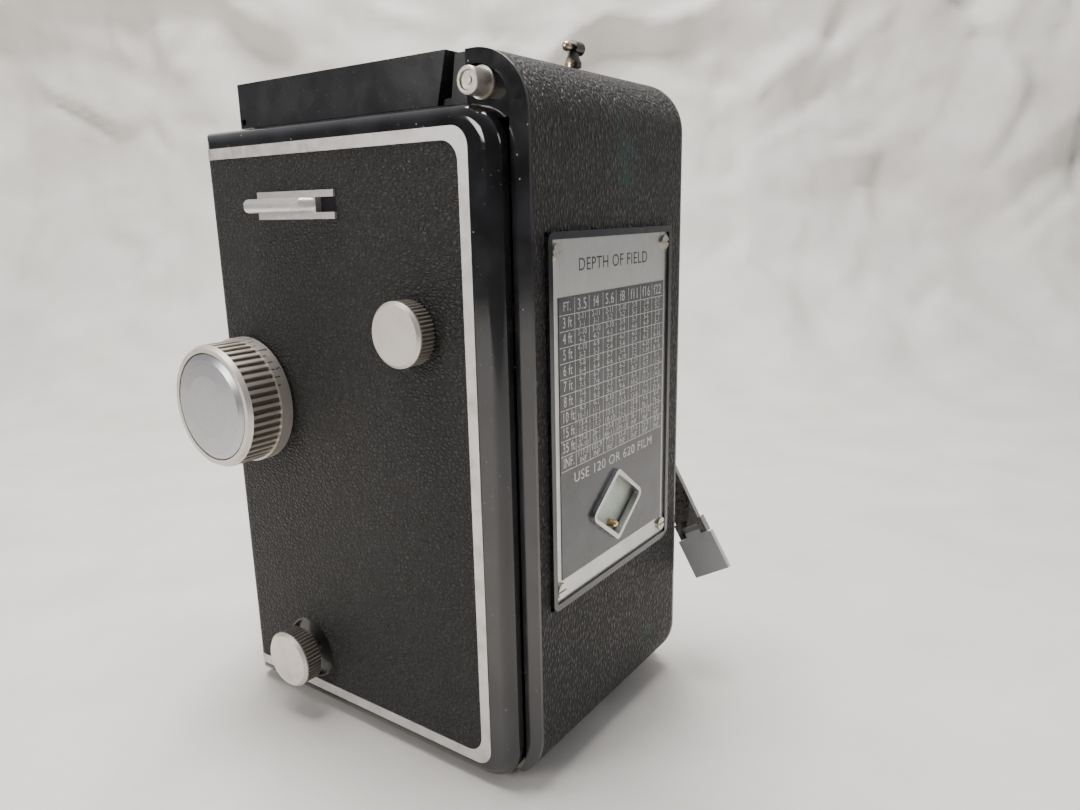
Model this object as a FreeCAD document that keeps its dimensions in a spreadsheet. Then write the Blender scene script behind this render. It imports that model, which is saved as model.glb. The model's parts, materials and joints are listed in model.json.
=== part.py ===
import FreeCAD, Part
import os
import re
import Sketcher

# Twin lens reflex roll-film camera. Millimetres, +Z up, lenses towards -Y, film back towards +Y.
# The origin is the mouth of the tripod socket. "Left" is the side with the round knobs, at +X.

doc = FreeCAD.newDocument("TwinLensReflex")
V = FreeCAD.Vector

DIMENSIONS = {
    # die-cast case
    "case_half": 36.7, "case_front": -48.5, "case_rear": 43.2, "case_floor": 1.5, "case_roof": 149.0,
    "case_corner": 9.0, "case_edge": 3.0, "cavity_half": 32.6, "end_wall": 3.0, "far": 90.0,
    "tower_half": 32.0, "tower_front": 33.4, "tower_top": 155.8, "tower_corner": 8.0,
    # aluminium line and leather let into the case
    "line_top": 144.9, "line_bottom": 4.9, "line_rear": 36.7, "line_wide": 2.6, "line_corner": 4.2,
    "skin_depth": 1.0, "leather_inset": 2.65, "line_proud": 0.15, "skin_gap": 0.05,
    "leather_split": -44.4, "front_round": 3.0,
    # lens opening, lens panel and its tubes
    "opening_half": 28.0, "opening_low": 33.0, "opening_high": 131.0,
    "panel_half": 29.0, "panel_low": 28.0, "panel_high": 136.0, "panel_back": -49.0, "panel_face": -52.0,
    "panel_corner": 6.0, "view_axis": 108.0, "take_axis": 58.0, "view_hole": 12.5, "take_hole": 13.5,
    "tube_front": -49.0, "tube_rear": -30.0, "tube_half": 21.5, "tube_low": 38.5, "tube_high": 77.5,
    "tube_wall": 1.0,
    "view_flange": 17.0, "view_flange_face": -54.5, "view_body": 15.5, "view_face": -63.0,
    "glass_inset": 3.0, "view_glass": 12.0, "glass_dome": 1.6, "glass_thick": 3.5,
    "shutter_radius": 21.0, "shutter_face": -59.5, "barrel_radius": 13.5, "barrel_face": -68.0,
    "take_glass": 9.5, "ring_fit": 0.05, "ring_outer": 18.6, "ring_thick": 2.2, "ring_gap": 0.4,
    "tab_reach": 24.0, "tab_wide": 4.0, "rim_wall": 1.6,
    "cock_x": 15.5, "cock_z": 82.0, "cock_reach": 9.0, "cock_thick": 1.4, "cock_wide": 4.4,
    "release_x": -22.5, "release_z": 88.0, "release_radius": 2.4, "release_proud": 5.0,
    "release_collar": 4.0, "socket_x": 23.0, "socket_z": 36.0,
    "socket_radius": 3.2, "socket_bore": 1.75, "socket_face": -60.0, "socket_floor": -54.0,
    # focusing
    "focus_y": -38.1, "focus_z": 83.2, "focus_base": 37.25, "focus_skirt_end": 40.4, "focus_skirt": 15.9,
    "focus_grip": 15.4, "focus_grip_end": 48.2, "focus_rim_face": 49.3, "focus_rim_inner": 13.5,
    "focus_disc": 13.2, "focus_disc_low": 46.4, "focus_disc_edge": 49.2, "focus_disc_top": 50.2,
    "focus_shaft": 2.2, "focus_shaft_in": 24.2, "focus_bush": 4.6, "pinion": 1.7,
    "rack_in": 26.2, "rack_out": 27.7, "rack_low": 79.4, "rack_rear": -29.0, "rack_gap": 0.25,
    "knob_flutes": 48.0, "flute": 0.42, "focus_flute": 0.62, "mesh_gap": 0.3,
    # spool knobs
    "upper_y": 19.3, "upper_z": 104.0, "upper_radius": 7.1, "upper_face": 42.1,
    "lower_y": -24.5, "lower_z": 16.1, "lower_radius": 7.4, "lower_face": 44.7,
    "knob_tall": 5.2, "knob_bevel": 0.7, "sleeve_outer": 2.5, "sleeve_bore": 1.5, "pin_radius": 1.45,
    "sleeve_deep": 11.5, "bush_outer": 5.0, "fit": 0.05, "cup_outer": 8.3, "cup_inner": 7.9,
    "cup_floor": 35.2,
    # film path
    "spool_half": 31.6, "spool_flange": 11.8, "flange_thick": 1.0, "spool_core": 4.5, "spool_bore": 3.0,
    "roller_y": 36.0, "roller_low_z": 24.0, "roller_high_z": 94.0, "roller": 3.0, "roller_half": 30.6,
    "journal": 1.2, "journal_half": 31.9, "ear_in": 31.0, "ear_out": 32.4, "ear_reach": 3.2,
    "gate_front": 38.0, "gate_rear": 40.4, "gate_half": 28.0, "gate_low": 30.0, "gate_high": 86.0,
    "gate_plate_low": 27.6, "gate_plate_high": 89.6, "gate_plate_half": 32.4,
    "box_front": -44.5, "box_front_half": 24.6, "box_front_low": 35.4, "box_front_high": 79.2,
    "box_rear_half": 30.0, "box_rear_low": 28.4, "box_rear_high": 88.0, "box_wall": 1.2,
    "plate_near": 41.0, "plate_far": 42.2, "plate_half": 29.0, "plate_low": 31.0, "plate_high": 85.0,
    "spring_near": 42.9, "spring_half": 5.0, "spring_low": 36.0, "spring_high": 80.0,
    # reflex finder
    "mirror_half": 27.0, "mirror_long": 72.0, "mirror_thick": 1.5, "mirror_start_y": -24.0,
    "bracket_thick": 1.5, "bracket_half": 32.3,
    "light_half": 26.5, "glass_half": 28.0, "screen_low": 149.1, "screen_thick": 1.3,
    # folding hood
    "hood_half": 30.4, "hood_base_half": 29.2, "hood_front": -37.8, "hood_base_rear": 27.6,
    "hood_base_low": 149.0, "hood_base_high": 151.0, "hood_open_half": 26.0,
    "lid_front": -41.2, "lid_rear_top": 26.6, "lid_rear_low": 23.9, "lid_low": 149.7, "lid_top": 160.0,
    "lid_wall": 1.0, "pivot_y": -39.8, "pivot_z": 151.2, "lug_in": 20.0, "lug_out": 23.6, "lug_radius": 1.5,
    "ear_start": 23.9, "ear_end": 26.6, "hood_pin": 0.7, "hood_pin_half": 26.6,
    "strip_front_low": 28.7, "strip_front_top": 30.3, "strip_rear": 33.0, "strip_half": 31.8,
    "strip_low": 149.0, "strip_top": 158.7,
    "flap_low": 151.9, "flap_thick": 0.5, "flap_wide": 24.0, "flap_hinge": 0.75, "flap_hinge_x": 26.9,
    "flap_rear_y": 20.4, "flap_front_y": -35.6, "mitre_gap": 0.5, "flap_pin_z": 152.1,
    "glass_arm_y": -9.0, "glass_z": 155.6, "glass_ring": 11.0, "glass_ring_bore": 9.6, "glass_centre_y": 8.0,
    "glass_tall": 1.8, "arm_half": 4.0, "arm_barrel": 1.1, "arm_ear_in": 5.2, "arm_ear_out": 7.2,
    "arm_pin": 0.55,
    # hinged back
    "back_half": 32.5, "back_plane": 48.0, "back_roof": 159.0, "back_floor": 1.5, "back_corner": 12.6,
    "back_inner": 43.6, "back_roof_inner": 156.2, "back_inner_corner": 8.4, "back_leather_half": 31.7,
    "back_skin": 0.6, "back_front": 33.4, "back_tail": 3.7,
    "hinge_y": 40.2, "hinge_z": 3.6, "hinge_barrel": 1.9, "hinge_clear": 2.4, "hinge_pin": 0.8,
    "knuckle_end": 30.0, "knuckle_mid": 20.0, "knuckle_near": 6.0, "knuckle_gap": 0.3,
    "leaf_front": 30.0, "leaf_thick": 1.2, "leaf_low": 1.7,
    # table plate on the back
    "table_left": 26.5, "table_right": -24.5, "table_low": 44.5, "table_high": 123.0, "table_face": 48.3,
    "surround_wide": 1.5, "surround_face": 48.9, "surround_corner": 2.0, "panel_left": 24.1,
    "panel_right": -22.5, "print_low": 49.3, "print_high": 111.3, "print_face": 48.45,
    "screw_left": 24.6, "screw_right": -22.4, "screw_low": 47.2, "screw_high": 120.6, "screw_head": 1.7,
    "screw_proud": 48.95, "slot_wide": 0.45, "slot_deep": 0.35,
    "window_x": 0.9, "window_z": 60.0, "window_wide": 12.1, "window_tall": 9.2, "bezel_wide": 1.5,
    "bezel_face": 49.4, "bezel_corner": 1.7, "window_corner": 0.9,
    "shutter_left": 14.4, "shutter_right": -12.6, "shutter_low": 50.4, "shutter_high": 70.2,
    "shutter_near": 46.3, "shutter_thick": 0.6, "pocket_floor": 46.0, "pocket_side": 1.2,
    "pocket_high": 80.4, "pin_x": 1.4, "pin_z": 55.1, "pin_size": 0.9, "pin_face": 49.2,
    "red_radius": 6.0, "red_near": 44.2, "red_far": 45.6,
    # roof catch
    "catch_y": 37.0, "catch_stem": 1.2, "catch_stem_low": 154.6, "catch_disc": 1.9, "catch_disc_high": 160.0,
    "catch_bar_z": 163.2, "catch_bar": 1.5, "catch_bar_left": 0.6, "catch_bar_right": -3.0,
    "catch_neck": 0.8, "catch_ball": 1.05, "catch_ball_x": 2.5, "catch_key": 2.2, "catch_key_thick": 0.9,
    "key_well": 4.0, "key_well_floor": 153.0,
    # post on the left cheek
    "post_y": 37.1, "post_z": 152.6, "post_radius": 2.6, "post_face": 36.7, "post_base": 3.1,
    "post_base_face": 32.5, "post_core": 0.8, "post_groove": 1.7, "post_groove_deep": 0.5,
    # strap lugs
    "lug_front": -28.0, "lug_rear": -1.4, "lug_low": 127.8, "lug_high": 134.1, "lug_face": 37.4,
    "tongue_front": -31.4, "tongue_low": 129.3, "tongue_high": 132.6,
    "tongue_face": 39.6, "tongue_nose": 0.9, "tongue_round": 1.3, "tongue_foot": 3.2,
    "lug_slot_front": -7.5, "lug_slot_rear": 0.0,
    # winding crank on the right side
    "crank_y": 25.0, "crank_z": 80.0, "crank_lean": 30.4, "crank_arm_near": -41.0, "crank_arm_far": -42.6,
    "crank_hub": 8.0, "crank_hub_near": -37.2, "crank_arm_long": 46.5, "crank_arm_half": 4.6,
    "crank_tip_half": 3.8, "crank_cap": 4.0, "crank_cap_face": -43.8, "crank_shaft": 3.0,
    "crank_bush": 5.2, "crank_bush_face": -37.0,
    "leaf_pin": 0.7, "leaf_pin_reach": 48.0, "leaf_start": 49.6, "leaf_end": 61.0, "leaf_half": 5.6,
    "leaf_barrel": 1.3, "leaf_barrel_half": 2.4, "fork_half": 4.6, "leaf_near": -41.0, "leaf_far": -42.6,
    "gear_radius": 12.1, "gear_near": -33.0, "gear_far": -34.2, "gear_well": 12.7, "gear_well_far": -34.6,
    "counter_y": -12.0, "counter_z": 112.0, "counter_radius": 5.0, "counter_near": -34.0,
    "counter_far": -35.6, "counter_well": 5.4,
    # underside
    "bush_flange": 9.0, "bush_body": 7.0, "bush_top": 9.0, "tripod_bore": 3.175, "tripod_depth": 7.5,
    "foot_radius": 3.0, "foot_x": 27.0, "foot_front": -38.0, "foot_rear": 24.0,
}

sheet = doc.addObject("Spreadsheet::Sheet", "Dimensions")
for row, (alias, number) in enumerate(DIMENSIONS.items(), start=1):
    sheet.set(f"A{row}", alias)
    sheet.set(f"B{row}", str(number))
    sheet.setAlias(f"B{row}", alias)
doc.recompute()

NODES = []


def linked(text):
    """A formula with each dimension's name pointed at its cell in the sheet."""
    return re.sub(r"[a-z_]+", lambda word: f"Dimensions.{word.group(0)}", text)


def value_of(text):
    """The number that a formula of products, quotients, sums and differences stands for."""
    total = 0.0
    for sign, term in re.findall(r"([+-]?)\s*([^+-]+)", text):
        product = 1.0
        for operator, factor in re.findall(r"([*/]?)\s*([a-z_]+|[0-9.]+)", term):
            number = DIMENSIONS[factor] if factor in DIMENSIONS else float(factor)
            product = product / number if operator == "/" else product * number
        total += -product if sign == "-" else product
    return total


def bind(thing, prop, text):
    thing.setExpression(prop, linked(text))


def place(thing, x, y, z):
    for letter, text in zip("xyz", (x, y, z)):
        bind(thing, f"Placement.Base.{letter}", text)


def span(low, high):
    return f"({high}) - ({low})"


def node(thing, label):
    """Names a finished sub-part and puts it on the list of files to write."""
    thing.Label = label
    NODES.append(thing)
    return thing


def box(name, x, y, z):
    made = doc.addObject("Part::Box", name)
    place(made, x[0], y[0], z[0])
    for prop, (low, high) in zip(("Length", "Width", "Height"), (x, y, z)):
        bind(made, prop, span(low, high))
    return made


TURNS = {
    "X": FreeCAD.Rotation(V(0, 1, 0), 90),
    "Y": FreeCAD.Rotation(V(1, 0, 0), -90),
    "Z": FreeCAD.Rotation(),
}


def rod(name, axis, centre, low, high, radius):
    """A round bar along a row axis. centre gives the other two coordinates in X, Y, Z order."""
    made = doc.addObject("Part::Cylinder", name)
    made.Placement = FreeCAD.Placement(V(0, 0, 0), TURNS[axis])
    spots = list(centre)
    spots.insert("XYZ".index(axis), low)
    place(made, *spots)
    bind(made, "Radius", radius)
    bind(made, "Height", span(low, high))
    return made


def fuse(name, *parts):
    made = doc.addObject("Part::MultiFuse", name)
    made.Shapes = list(parts)
    return made


def group(name, *parts):
    made = doc.addObject("Part::Compound", name)
    made.Links = list(parts)
    return made


def cut(name, base, *tools):
    made = doc.addObject("Part::Cut", name)
    made.Base = base
    made.Tool = tools[0] if len(tools) == 1 else fuse(name + "_tools", *tools)
    return made


def common(name, *parts):
    made = doc.addObject("Part::MultiCommon", name)
    made.Shapes = list(parts)
    return made


def mirror_x(name, source):
    """The same piece on the other side of the camera."""
    made = doc.addObject("Part::Mirroring", name)
    made.Source = source
    made.Normal = V(1, 0, 0)
    return made


def is_along(edge, axis):
    box_of = edge.BoundBox
    long_way = {"X": box_of.XLength, "Y": box_of.YLength, "Z": box_of.ZLength}
    return long_way[axis] > 0.999 * edge.Length and edge.Length > 0.01


def round_edges(name, base, radius, chosen):
    """Rounds the edges that chosen(edge) picks, with the radius read from the sheet."""
    doc.recompute()
    size = float(sheet.get(radius))
    made = doc.addObject("Part::Fillet", name)
    made.Base = base
    numbered = enumerate(base.Shape.Edges, start=1)
    made.Edges = [(number, size, size) for number, edge in numbered if chosen(edge)]
    return made


def plane_of(body, role):
    return next(item for item in body.Origin.OriginFeatures if item.Role == role)


def new_body(name, x="0", y="0", z="0"):
    body = doc.addObject("PartDesign::Body", name)
    place(body, x, y, z)
    return body


def new_sketch(body, name, role, lift="0"):
    sketch = body.newObject("Sketcher::SketchObject", name)
    sketch.AttachmentSupport = (plane_of(body, role), [""])
    sketch.MapMode = "FlatFace"
    bind(sketch, "AttachmentOffset.Base.z", lift)
    return sketch


def fix_point(sketch, geometry, corner, across, upward):
    """Ties one point of a sketch to two formulas, measured from the sketch's origin."""
    for kind, text in (("DistanceX", across), ("DistanceY", upward)):
        number = sketch.addConstraint(Sketcher.Constraint(kind, -1, 1, geometry, corner, value_of(text)))
        sketch.setExpression(f"Constraints[{number}]", linked(text))


def draw_polygon(sketch, points):
    spots = [V(value_of(across), value_of(upward), 0) for across, upward in points]
    first = sketch.GeometryCount
    count = len(spots)
    for index in range(count):
        sketch.addGeometry(Part.LineSegment(spots[index], spots[(index + 1) % count]), False)
    for index in range(count):
        following = first + (index + 1) % count
        sketch.addConstraint(Sketcher.Constraint("Coincident", first + index, 2, following, 1))
    for index, (across, upward) in enumerate(points):
        fix_point(sketch, first + index, 1, across, upward)


def draw_circle(sketch, across, upward, radius):
    centre = V(value_of(across), value_of(upward), 0)
    number = sketch.addGeometry(Part.Circle(centre, V(0, 0, 1), value_of(radius)), False)
    fix_point(sketch, number, 3, across, upward)
    tie = sketch.addConstraint(Sketcher.Constraint("Radius", number, value_of(radius)))
    sketch.setExpression(f"Constraints[{tie}]", linked(radius))


def padded(name, role, points, low, high):
    """A straight prism with a drawn outline, from low to high along the plane's row axis."""
    spots = {"YZ_Plane": (low, "0", "0"), "XZ_Plane": ("0", high, "0"), "XY_Plane": ("0", "0", low)}
    body = new_body(name, *spots[role])
    sketch = new_sketch(body, name + "_outline", role)
    draw_polygon(sketch, points)
    pad = body.newObject("PartDesign::Pad", name + "_pad")
    pad.Profile = sketch
    bind(pad, "Length", span(low, high))
    body.Tip = pad
    return body


def soften(body, radius, chosen):
    """Rounds some edges of a body's newest feature."""
    doc.recompute()
    base = body.Tip
    names = [f"Edge{number}" for number, edge in enumerate(base.Shape.Edges, start=1) if chosen(edge)]
    rounded = body.newObject("PartDesign::Fillet", f"{body.Name}_round_{radius}")
    rounded.Base = (base, names)
    bind(rounded, "Radius", radius)
    body.Tip = rounded
    return body


def turned(name, axis, profile, centre):
    """A lathe-turned body. profile lists (place along the axis, radius), centre the other two coordinates."""
    along_x = axis == "X"
    role = "XZ_Plane" if axis == "Z" else "XY_Plane"
    spots = list(centre)
    spots.insert("XYZ".index(axis), "0")
    body = new_body(name, *spots)
    sketch = new_sketch(body, name + "_outline", role)
    draw_polygon(sketch, [point if along_x else (point[1], point[0]) for point in profile])
    turn = body.newObject("PartDesign::Revolution", name + "_turn")
    turn.Profile = sketch
    turn.ReferenceAxis = (sketch, ["H_Axis" if along_x else "V_Axis"])
    turn.Angle = 360.0
    body.Tip = turn
    return body


def fluted(body, count, reach, radius, start, length):
    """Cuts a ring of straight flutes round a body that was turned about X."""
    sketch = new_sketch(body, body.Name + "_flute", "YZ_Plane", start)
    draw_circle(sketch, "0", reach, radius)
    groove = body.newObject("PartDesign::Pocket", body.Name + "_groove")
    groove.Profile = sketch
    bind(groove, "Length", length)
    groove.Reversed = True
    body.Tip = groove
    ring = body.newObject("PartDesign::PolarPattern", body.Name + "_ring")
    ring.Originals = [groove]
    ring.Axis = (plane_of(body, "X_Axis"), [""])
    ring.Angle = 360.0
    bind(ring, "Occurrences", count)
    body.Tip = ring
    return body


def rectangle(across, upward):
    return [(across[0], upward[0]), (across[1], upward[0]), (across[1], upward[1]), (across[0], upward[1])]


def both(half):
    """A span that is even about the camera's middle plane."""
    return ("-" + half.translate(str.maketrans("+-", "-+")), half)


def rear_corner(edge, lowest=0.0):
    return is_along(edge, "X") and edge.BoundBox.YMin > lowest


# ------------------------------------------------------------------ die-cast case
case_outline = rectangle(("case_front", "case_rear"), ("case_floor", "case_roof"))
case_block = padded("case_block", "YZ_Plane", case_outline, "-case_half", "case_half")
soften(case_block, "case_corner", rear_corner)
soften(case_block, "case_edge", lambda edge: edge.BoundBox.XLength < 0.01)

tower_box = box("tower_box", both("tower_half"), ("tower_front", "case_rear"),
                ("case_roof - end_wall", "tower_top"))
tower = round_edges("tower", tower_box, "tower_corner",
                    lambda edge: rear_corner(edge, value_of("tower_front") + 1)
                    and edge.BoundBox.ZMin > value_of("case_roof"))


def line_region(name, inset):
    """The side outline of the aluminium line, or of the leather inside it, as a prism across the camera."""
    upright = (f"line_bottom + {inset}", f"line_top - {inset}")
    outline = rectangle(("case_front - end_wall * 3", f"line_rear - {inset}"), upright)
    prism = padded(name, "YZ_Plane", outline, "-case_half - end_wall", "case_half + end_wall")
    return soften(prism, "line_corner", rear_corner)


def upright_skin(name, grow):
    """The case's plan outline, made larger by grow, as a tall block with rounded front corners."""
    block = box(name + "_block", (f"-case_half - ({grow})", f"case_half + ({grow})"),
                (f"case_front - ({grow})", "far"), ("-end_wall", "case_roof + far"))
    return round_edges(name, block, "front_round",
                       lambda edge: is_along(edge, "Z") and edge.BoundBox.YMin < 0)


line_outer = line_region("line_outer", "0 * line_wide")
line_inner = line_region("line_inner", "line_wide")
leather_region = line_region("leather_region", "leather_inset")
skin_floor = upright_skin("skin_floor", "-skin_depth")
skin_proud = upright_skin("skin_proud", "line_proud")
skin_leather = upright_skin("skin_leather", "skin_gap")

skin_recess = cut("skin_recess", line_outer, skin_floor)
cavity = box("cavity", both("cavity_half"), ("case_front + end_wall", "far"),
             ("case_floor + end_wall * 0.8", "case_roof - end_wall"))
lens_opening = box("lens_opening", both("opening_half"),
                   ("case_front - end_wall", "case_front + end_wall * 2"),
                   ("opening_low", "opening_high"))
light_opening = box("light_opening", both("light_half"), both("light_half"),
                    ("case_roof - end_wall * 2", "case_roof + end_wall"))
tripod_hole = rod("tripod_hole", "Z", ("0", "0"), "0", "case_floor + end_wall * 2", "bush_body")
wall_out = "case_half + end_wall"
wall_in = "cavity_half - end_wall * 0.2"
upper_hole = rod("upper_hole", "X", ("upper_y", "upper_z"), wall_in, wall_out, "bush_outer")
lower_hole = rod("lower_hole", "X", ("lower_y", "lower_z"), wall_in, wall_out, "bush_outer")
lower_recess = rod("lower_recess", "X", ("lower_y", "lower_z"), "cup_floor", wall_out, "cup_outer")
focus_hole = rod("focus_hole", "X", ("focus_y", "focus_z"), wall_in, wall_out, "focus_bush")
crank_hole = rod("crank_hole", "X", ("crank_y", "crank_z"), "-case_half - end_wall",
                 "-cavity_half + end_wall",
                 "crank_bush")
gear_well_low = rod("gear_well_low", "X", ("crank_y", "crank_z"), "gear_well_far",
                    "-cavity_half + end_wall",
                    "gear_well")
gear_well_high = rod("gear_well_high", "X", ("upper_y", "upper_z"), "gear_well_far",
                     "-cavity_half + end_wall",
                     "gear_well")
counter_hole = rod("counter_hole", "X", ("counter_y", "counter_z"), "-case_half - end_wall",
                   "-cavity_half + end_wall", "counter_well")
hinge_way = rod("hinge_way", "X", ("hinge_y", "hinge_z"), "-knuckle_end - knuckle_gap",
                "knuckle_end + knuckle_gap", "hinge_clear")
leaf_way = box("leaf_way", ("-knuckle_end - knuckle_gap", "knuckle_end + knuckle_gap"),
               ("leaf_front - knuckle_gap", "hinge_y"), ("-end_wall", "leaf_low + leaf_thick"))
key_well = box("key_well", both("key_well"), ("0", "far"), ("key_well_floor", "tower_top + end_wall"))
case_solid = fuse("case_solid", case_block, tower)
node(cut("casting", case_solid, skin_recess, cavity, lens_opening, light_opening, tripod_hole, upper_hole,
         lower_hole, lower_recess, focus_hole, crank_hole, gear_well_low, gear_well_high, counter_hole, hinge_way,
         leaf_way, key_well), "main_casting")

line_shell = cut("line_shell", skin_proud, skin_floor)
line_frame = cut("line_frame", line_outer, line_inner)
node(common("line_band", line_shell, line_frame), "trim_band")

leather_shell = cut("leather_shell", skin_leather, skin_floor)
leather_all = common("leather_all", leather_shell, leather_region)
left_zone = box("left_zone", ("0", "far"), ("leather_split", "far"), ("-end_wall", "case_roof + far"))
front_zone = box("front_zone", both("far"), ("-far", "leather_split - skin_gap"),
                 ("-end_wall", "case_roof + far"))
lug_window = box("lug_window", ("0", "far"), ("lug_front - skin_gap", "lug_rear + skin_gap"),
                 ("lug_low - skin_gap", "lug_high + skin_gap"))
left_piece = common("left_piece", leather_all, left_zone)
upper_ring_hole = rod("upper_ring_hole", "X", ("upper_y", "upper_z"), "0", "far", "bush_outer + skin_gap")
lower_ring_hole = rod("lower_ring_hole", "X", ("lower_y", "lower_z"), "0", "far", "cup_outer + skin_gap")
focus_ring_hole = rod("focus_ring_hole", "X", ("focus_y", "focus_z"), "0", "far", "focus_bush + skin_gap")
left_skin = cut("left_skin", left_piece, lug_window, upper_ring_hole, lower_ring_hole, focus_ring_hole)
right_piece = mirror_x("right_piece", left_piece)
right_lug_window = mirror_x("right_lug_window", lug_window)
crank_ring_hole = rod("crank_ring_hole", "X", ("crank_y", "crank_z"), "-far", "0", "crank_bush + skin_gap")
counter_ring_hole = rod("counter_ring_hole", "X", ("counter_y", "counter_z"), "-far", "0", "counter_well")
right_skin = cut("right_skin", right_piece, right_lug_window, crank_ring_hole, counter_ring_hole)
front_piece = common("front_piece", leather_all, front_zone)
front_window = box("front_window", both("opening_half"), ("-far", "0"), ("opening_low", "opening_high"))
front_skin = cut("front_skin", front_piece, front_window)
node(group("skins", left_skin, right_skin, front_skin), "case_leather")

# ------------------------------------------------------------------ underside
bush_outline = [("0", "0"), ("0", "bush_flange"), ("case_floor", "bush_flange"),
                ("case_floor", "bush_body"),
                ("bush_top", "bush_body"), ("bush_top", "0")]
bush_solid = turned("bush_solid", "Z", bush_outline, ("0", "0"))
tripod_thread = rod("tripod_thread", "Z", ("0", "0"), "-end_wall", "tripod_depth", "tripod_bore")
node(cut("tripod_insert", bush_solid, tripod_thread), "tripod_bush")

feet = []
for side in ("foot_x", "-foot_x"):
    for row in ("foot_front", "foot_rear"):
        feet.append(rod(f"foot_{len(feet)}", "Z", (side, row), "0", "case_floor", "foot_radius"))
node(group("feet", *feet), "base_feet")

knuckle_spans = [("-knuckle_end", "-knuckle_mid"), ("-knuckle_near", "knuckle_near"),
                 ("knuckle_mid", "knuckle_end")]
hinge_axis = ("hinge_y", "hinge_z")
case_knuckles = []
for number, (low, high) in enumerate(knuckle_spans):
    barrel = rod(f"case_barrel_{number}", "X", hinge_axis, low, high, "hinge_barrel")
    tongue = box(f"case_tongue_{number}", (low, high), ("leaf_front", "hinge_y"),
                 ("leaf_low", "leaf_low + leaf_thick"))
    case_knuckles += [barrel, tongue]
leaf_plate = box("leaf_plate", both("knuckle_end"), ("leaf_front", "hinge_y - hinge_clear - knuckle_gap"),
                 ("leaf_low", "leaf_low + leaf_thick"))
leaf_solid = fuse("leaf_solid", leaf_plate, *case_knuckles)
back_pin = rod("back_pin", "X", hinge_axis, "-knuckle_end", "knuckle_end", "hinge_pin")
node(fuse("case_leaf", leaf_solid, back_pin), "hinge_leaf")

# ------------------------------------------------------------------ hinged back
def back_region(name, half, plane, top, bottom, corner):
    outline = rectangle(("0", plane), (bottom, top))
    return soften(padded(name, "YZ_Plane", outline, f"-{half}", half), corner,
                  lambda edge: rear_corner(edge, 1.0))


back_block = back_region("back_block", "back_half", "back_plane", "back_roof", "back_floor", "back_corner")
back_core = back_region("back_core", "far", "back_inner", "back_roof_inner", "back_floor - knuckle_gap",
                        "back_inner_corner")
under_skin = back_region("under_skin", "far", "back_plane - back_skin", "back_roof - back_skin",
                         "back_floor + back_skin", "back_corner")
leather_band = box("leather_band", both("back_leather_half"), ("-far", "far"), ("-far", "case_roof + far"))
back_recess = cut("back_recess", leather_band, under_skin)
fore_part = box("fore_part", both("far"), ("-far", "back_front"), ("-far", "case_roof + far"))
tail_part = box("tail_part", both("far"), ("-far", "far"), ("-far", "back_tail"))
barrel_ways = [rod(f"barrel_way_{number}", "X", hinge_axis, f"{low} - knuckle_gap", f"{high} + knuckle_gap",
                   "hinge_clear") for number, (low, high) in enumerate(knuckle_spans)]
shutter_pocket = box("shutter_pocket", ("shutter_right - pocket_side", "shutter_left + pocket_side"),
                     ("pocket_floor", "far"), ("shutter_low - pocket_side", "pocket_high"))
red_hole = rod("red_hole", "Y", ("window_x", "window_z"), "back_inner - end_wall", "far", "red_radius")
stem_hole = rod("stem_hole", "Z", ("0", "catch_y"), "case_roof", "case_roof + far", "catch_stem + fit")
table_recess = box("table_recess", ("table_right - surround_wide", "table_left + surround_wide"),
                   ("back_plane - back_skin", "far"),
                   ("table_low - surround_wide", "table_high + surround_wide"))
back_cut = cut("back_cut", back_block, back_core, back_recess, fore_part, tail_part, *barrel_ways)
door_spans = [("-knuckle_mid + knuckle_gap", "-knuckle_near - knuckle_gap"),
              ("knuckle_near + knuckle_gap", "knuckle_mid - knuckle_gap")]
door_barrels = [rod(f"door_barrel_{number}", "X", hinge_axis, low, high, "hinge_barrel")
                for number, (low, high) in enumerate(door_spans)]
door_arms = [box(f"door_arm_{number}", (low, high), ("hinge_y", "hinge_y + hinge_barrel"),
                 ("back_tail", "hinge_z + hinge_barrel")) for number, (low, high) in enumerate(door_spans)]
door_solid = fuse("door_solid", back_cut, *door_barrels, *door_arms)
door_bore = rod("door_bore", "X", hinge_axis, "-far", "far", "hinge_pin + fit")
node(cut("door", door_solid, door_bore, shutter_pocket, red_hole, stem_hole), "back_shell")

outer_band = cut("outer_band", back_block, under_skin)
leather_width = box("leather_width", ("-back_leather_half + skin_gap", "back_leather_half - skin_gap"),
                    ("back_front", "far"), ("hinge_z + hinge_clear + fit", "case_roof + far"))
leather_sheet = common("leather_sheet", outer_band, leather_width)
leather_stem_hole = rod("leather_stem_hole", "Z", ("0", "catch_y"), "case_roof", "case_roof + far",
                        "catch_disc + skin_gap")
node(cut("back_skin_sheet", leather_sheet, table_recess, leather_stem_hole), "back_leather")

node(rod("red_disc", "Y", ("window_x", "window_z"), "red_near", "red_far", "red_radius"), "red_window")

surround_x = ("table_right - surround_wide", "table_left + surround_wide")
surround_z = ("table_low - surround_wide", "table_high + surround_wide")
surround_block = padded("surround_block", "XZ_Plane", rectangle(surround_x, surround_z),
                        "back_plane - back_skin", "surround_face")
soften(surround_block, "surround_corner", lambda edge: is_along(edge, "Y"))
surround_open = box("surround_open", ("table_right", "table_left"), ("0", "far"),
                    ("table_low", "table_high"))
node(cut("surround", surround_block, surround_open), "table_surround")


def diamond_inset(name, inset, low, high, corner):
    """The film window's lozenge, smaller by inset on both half diagonals, with rounded corners."""
    points = [(f"window_x + window_wide - {inset}", "window_z"),
              ("window_x", f"window_z + window_tall - {inset}"),
              (f"window_x - window_wide + {inset}", "window_z"),
              ("window_x", f"window_z - window_tall + {inset}")]
    lozenge = padded(name, "XZ_Plane", points, low, high)
    return soften(lozenge, corner, lambda edge: is_along(edge, "Y"))


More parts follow.
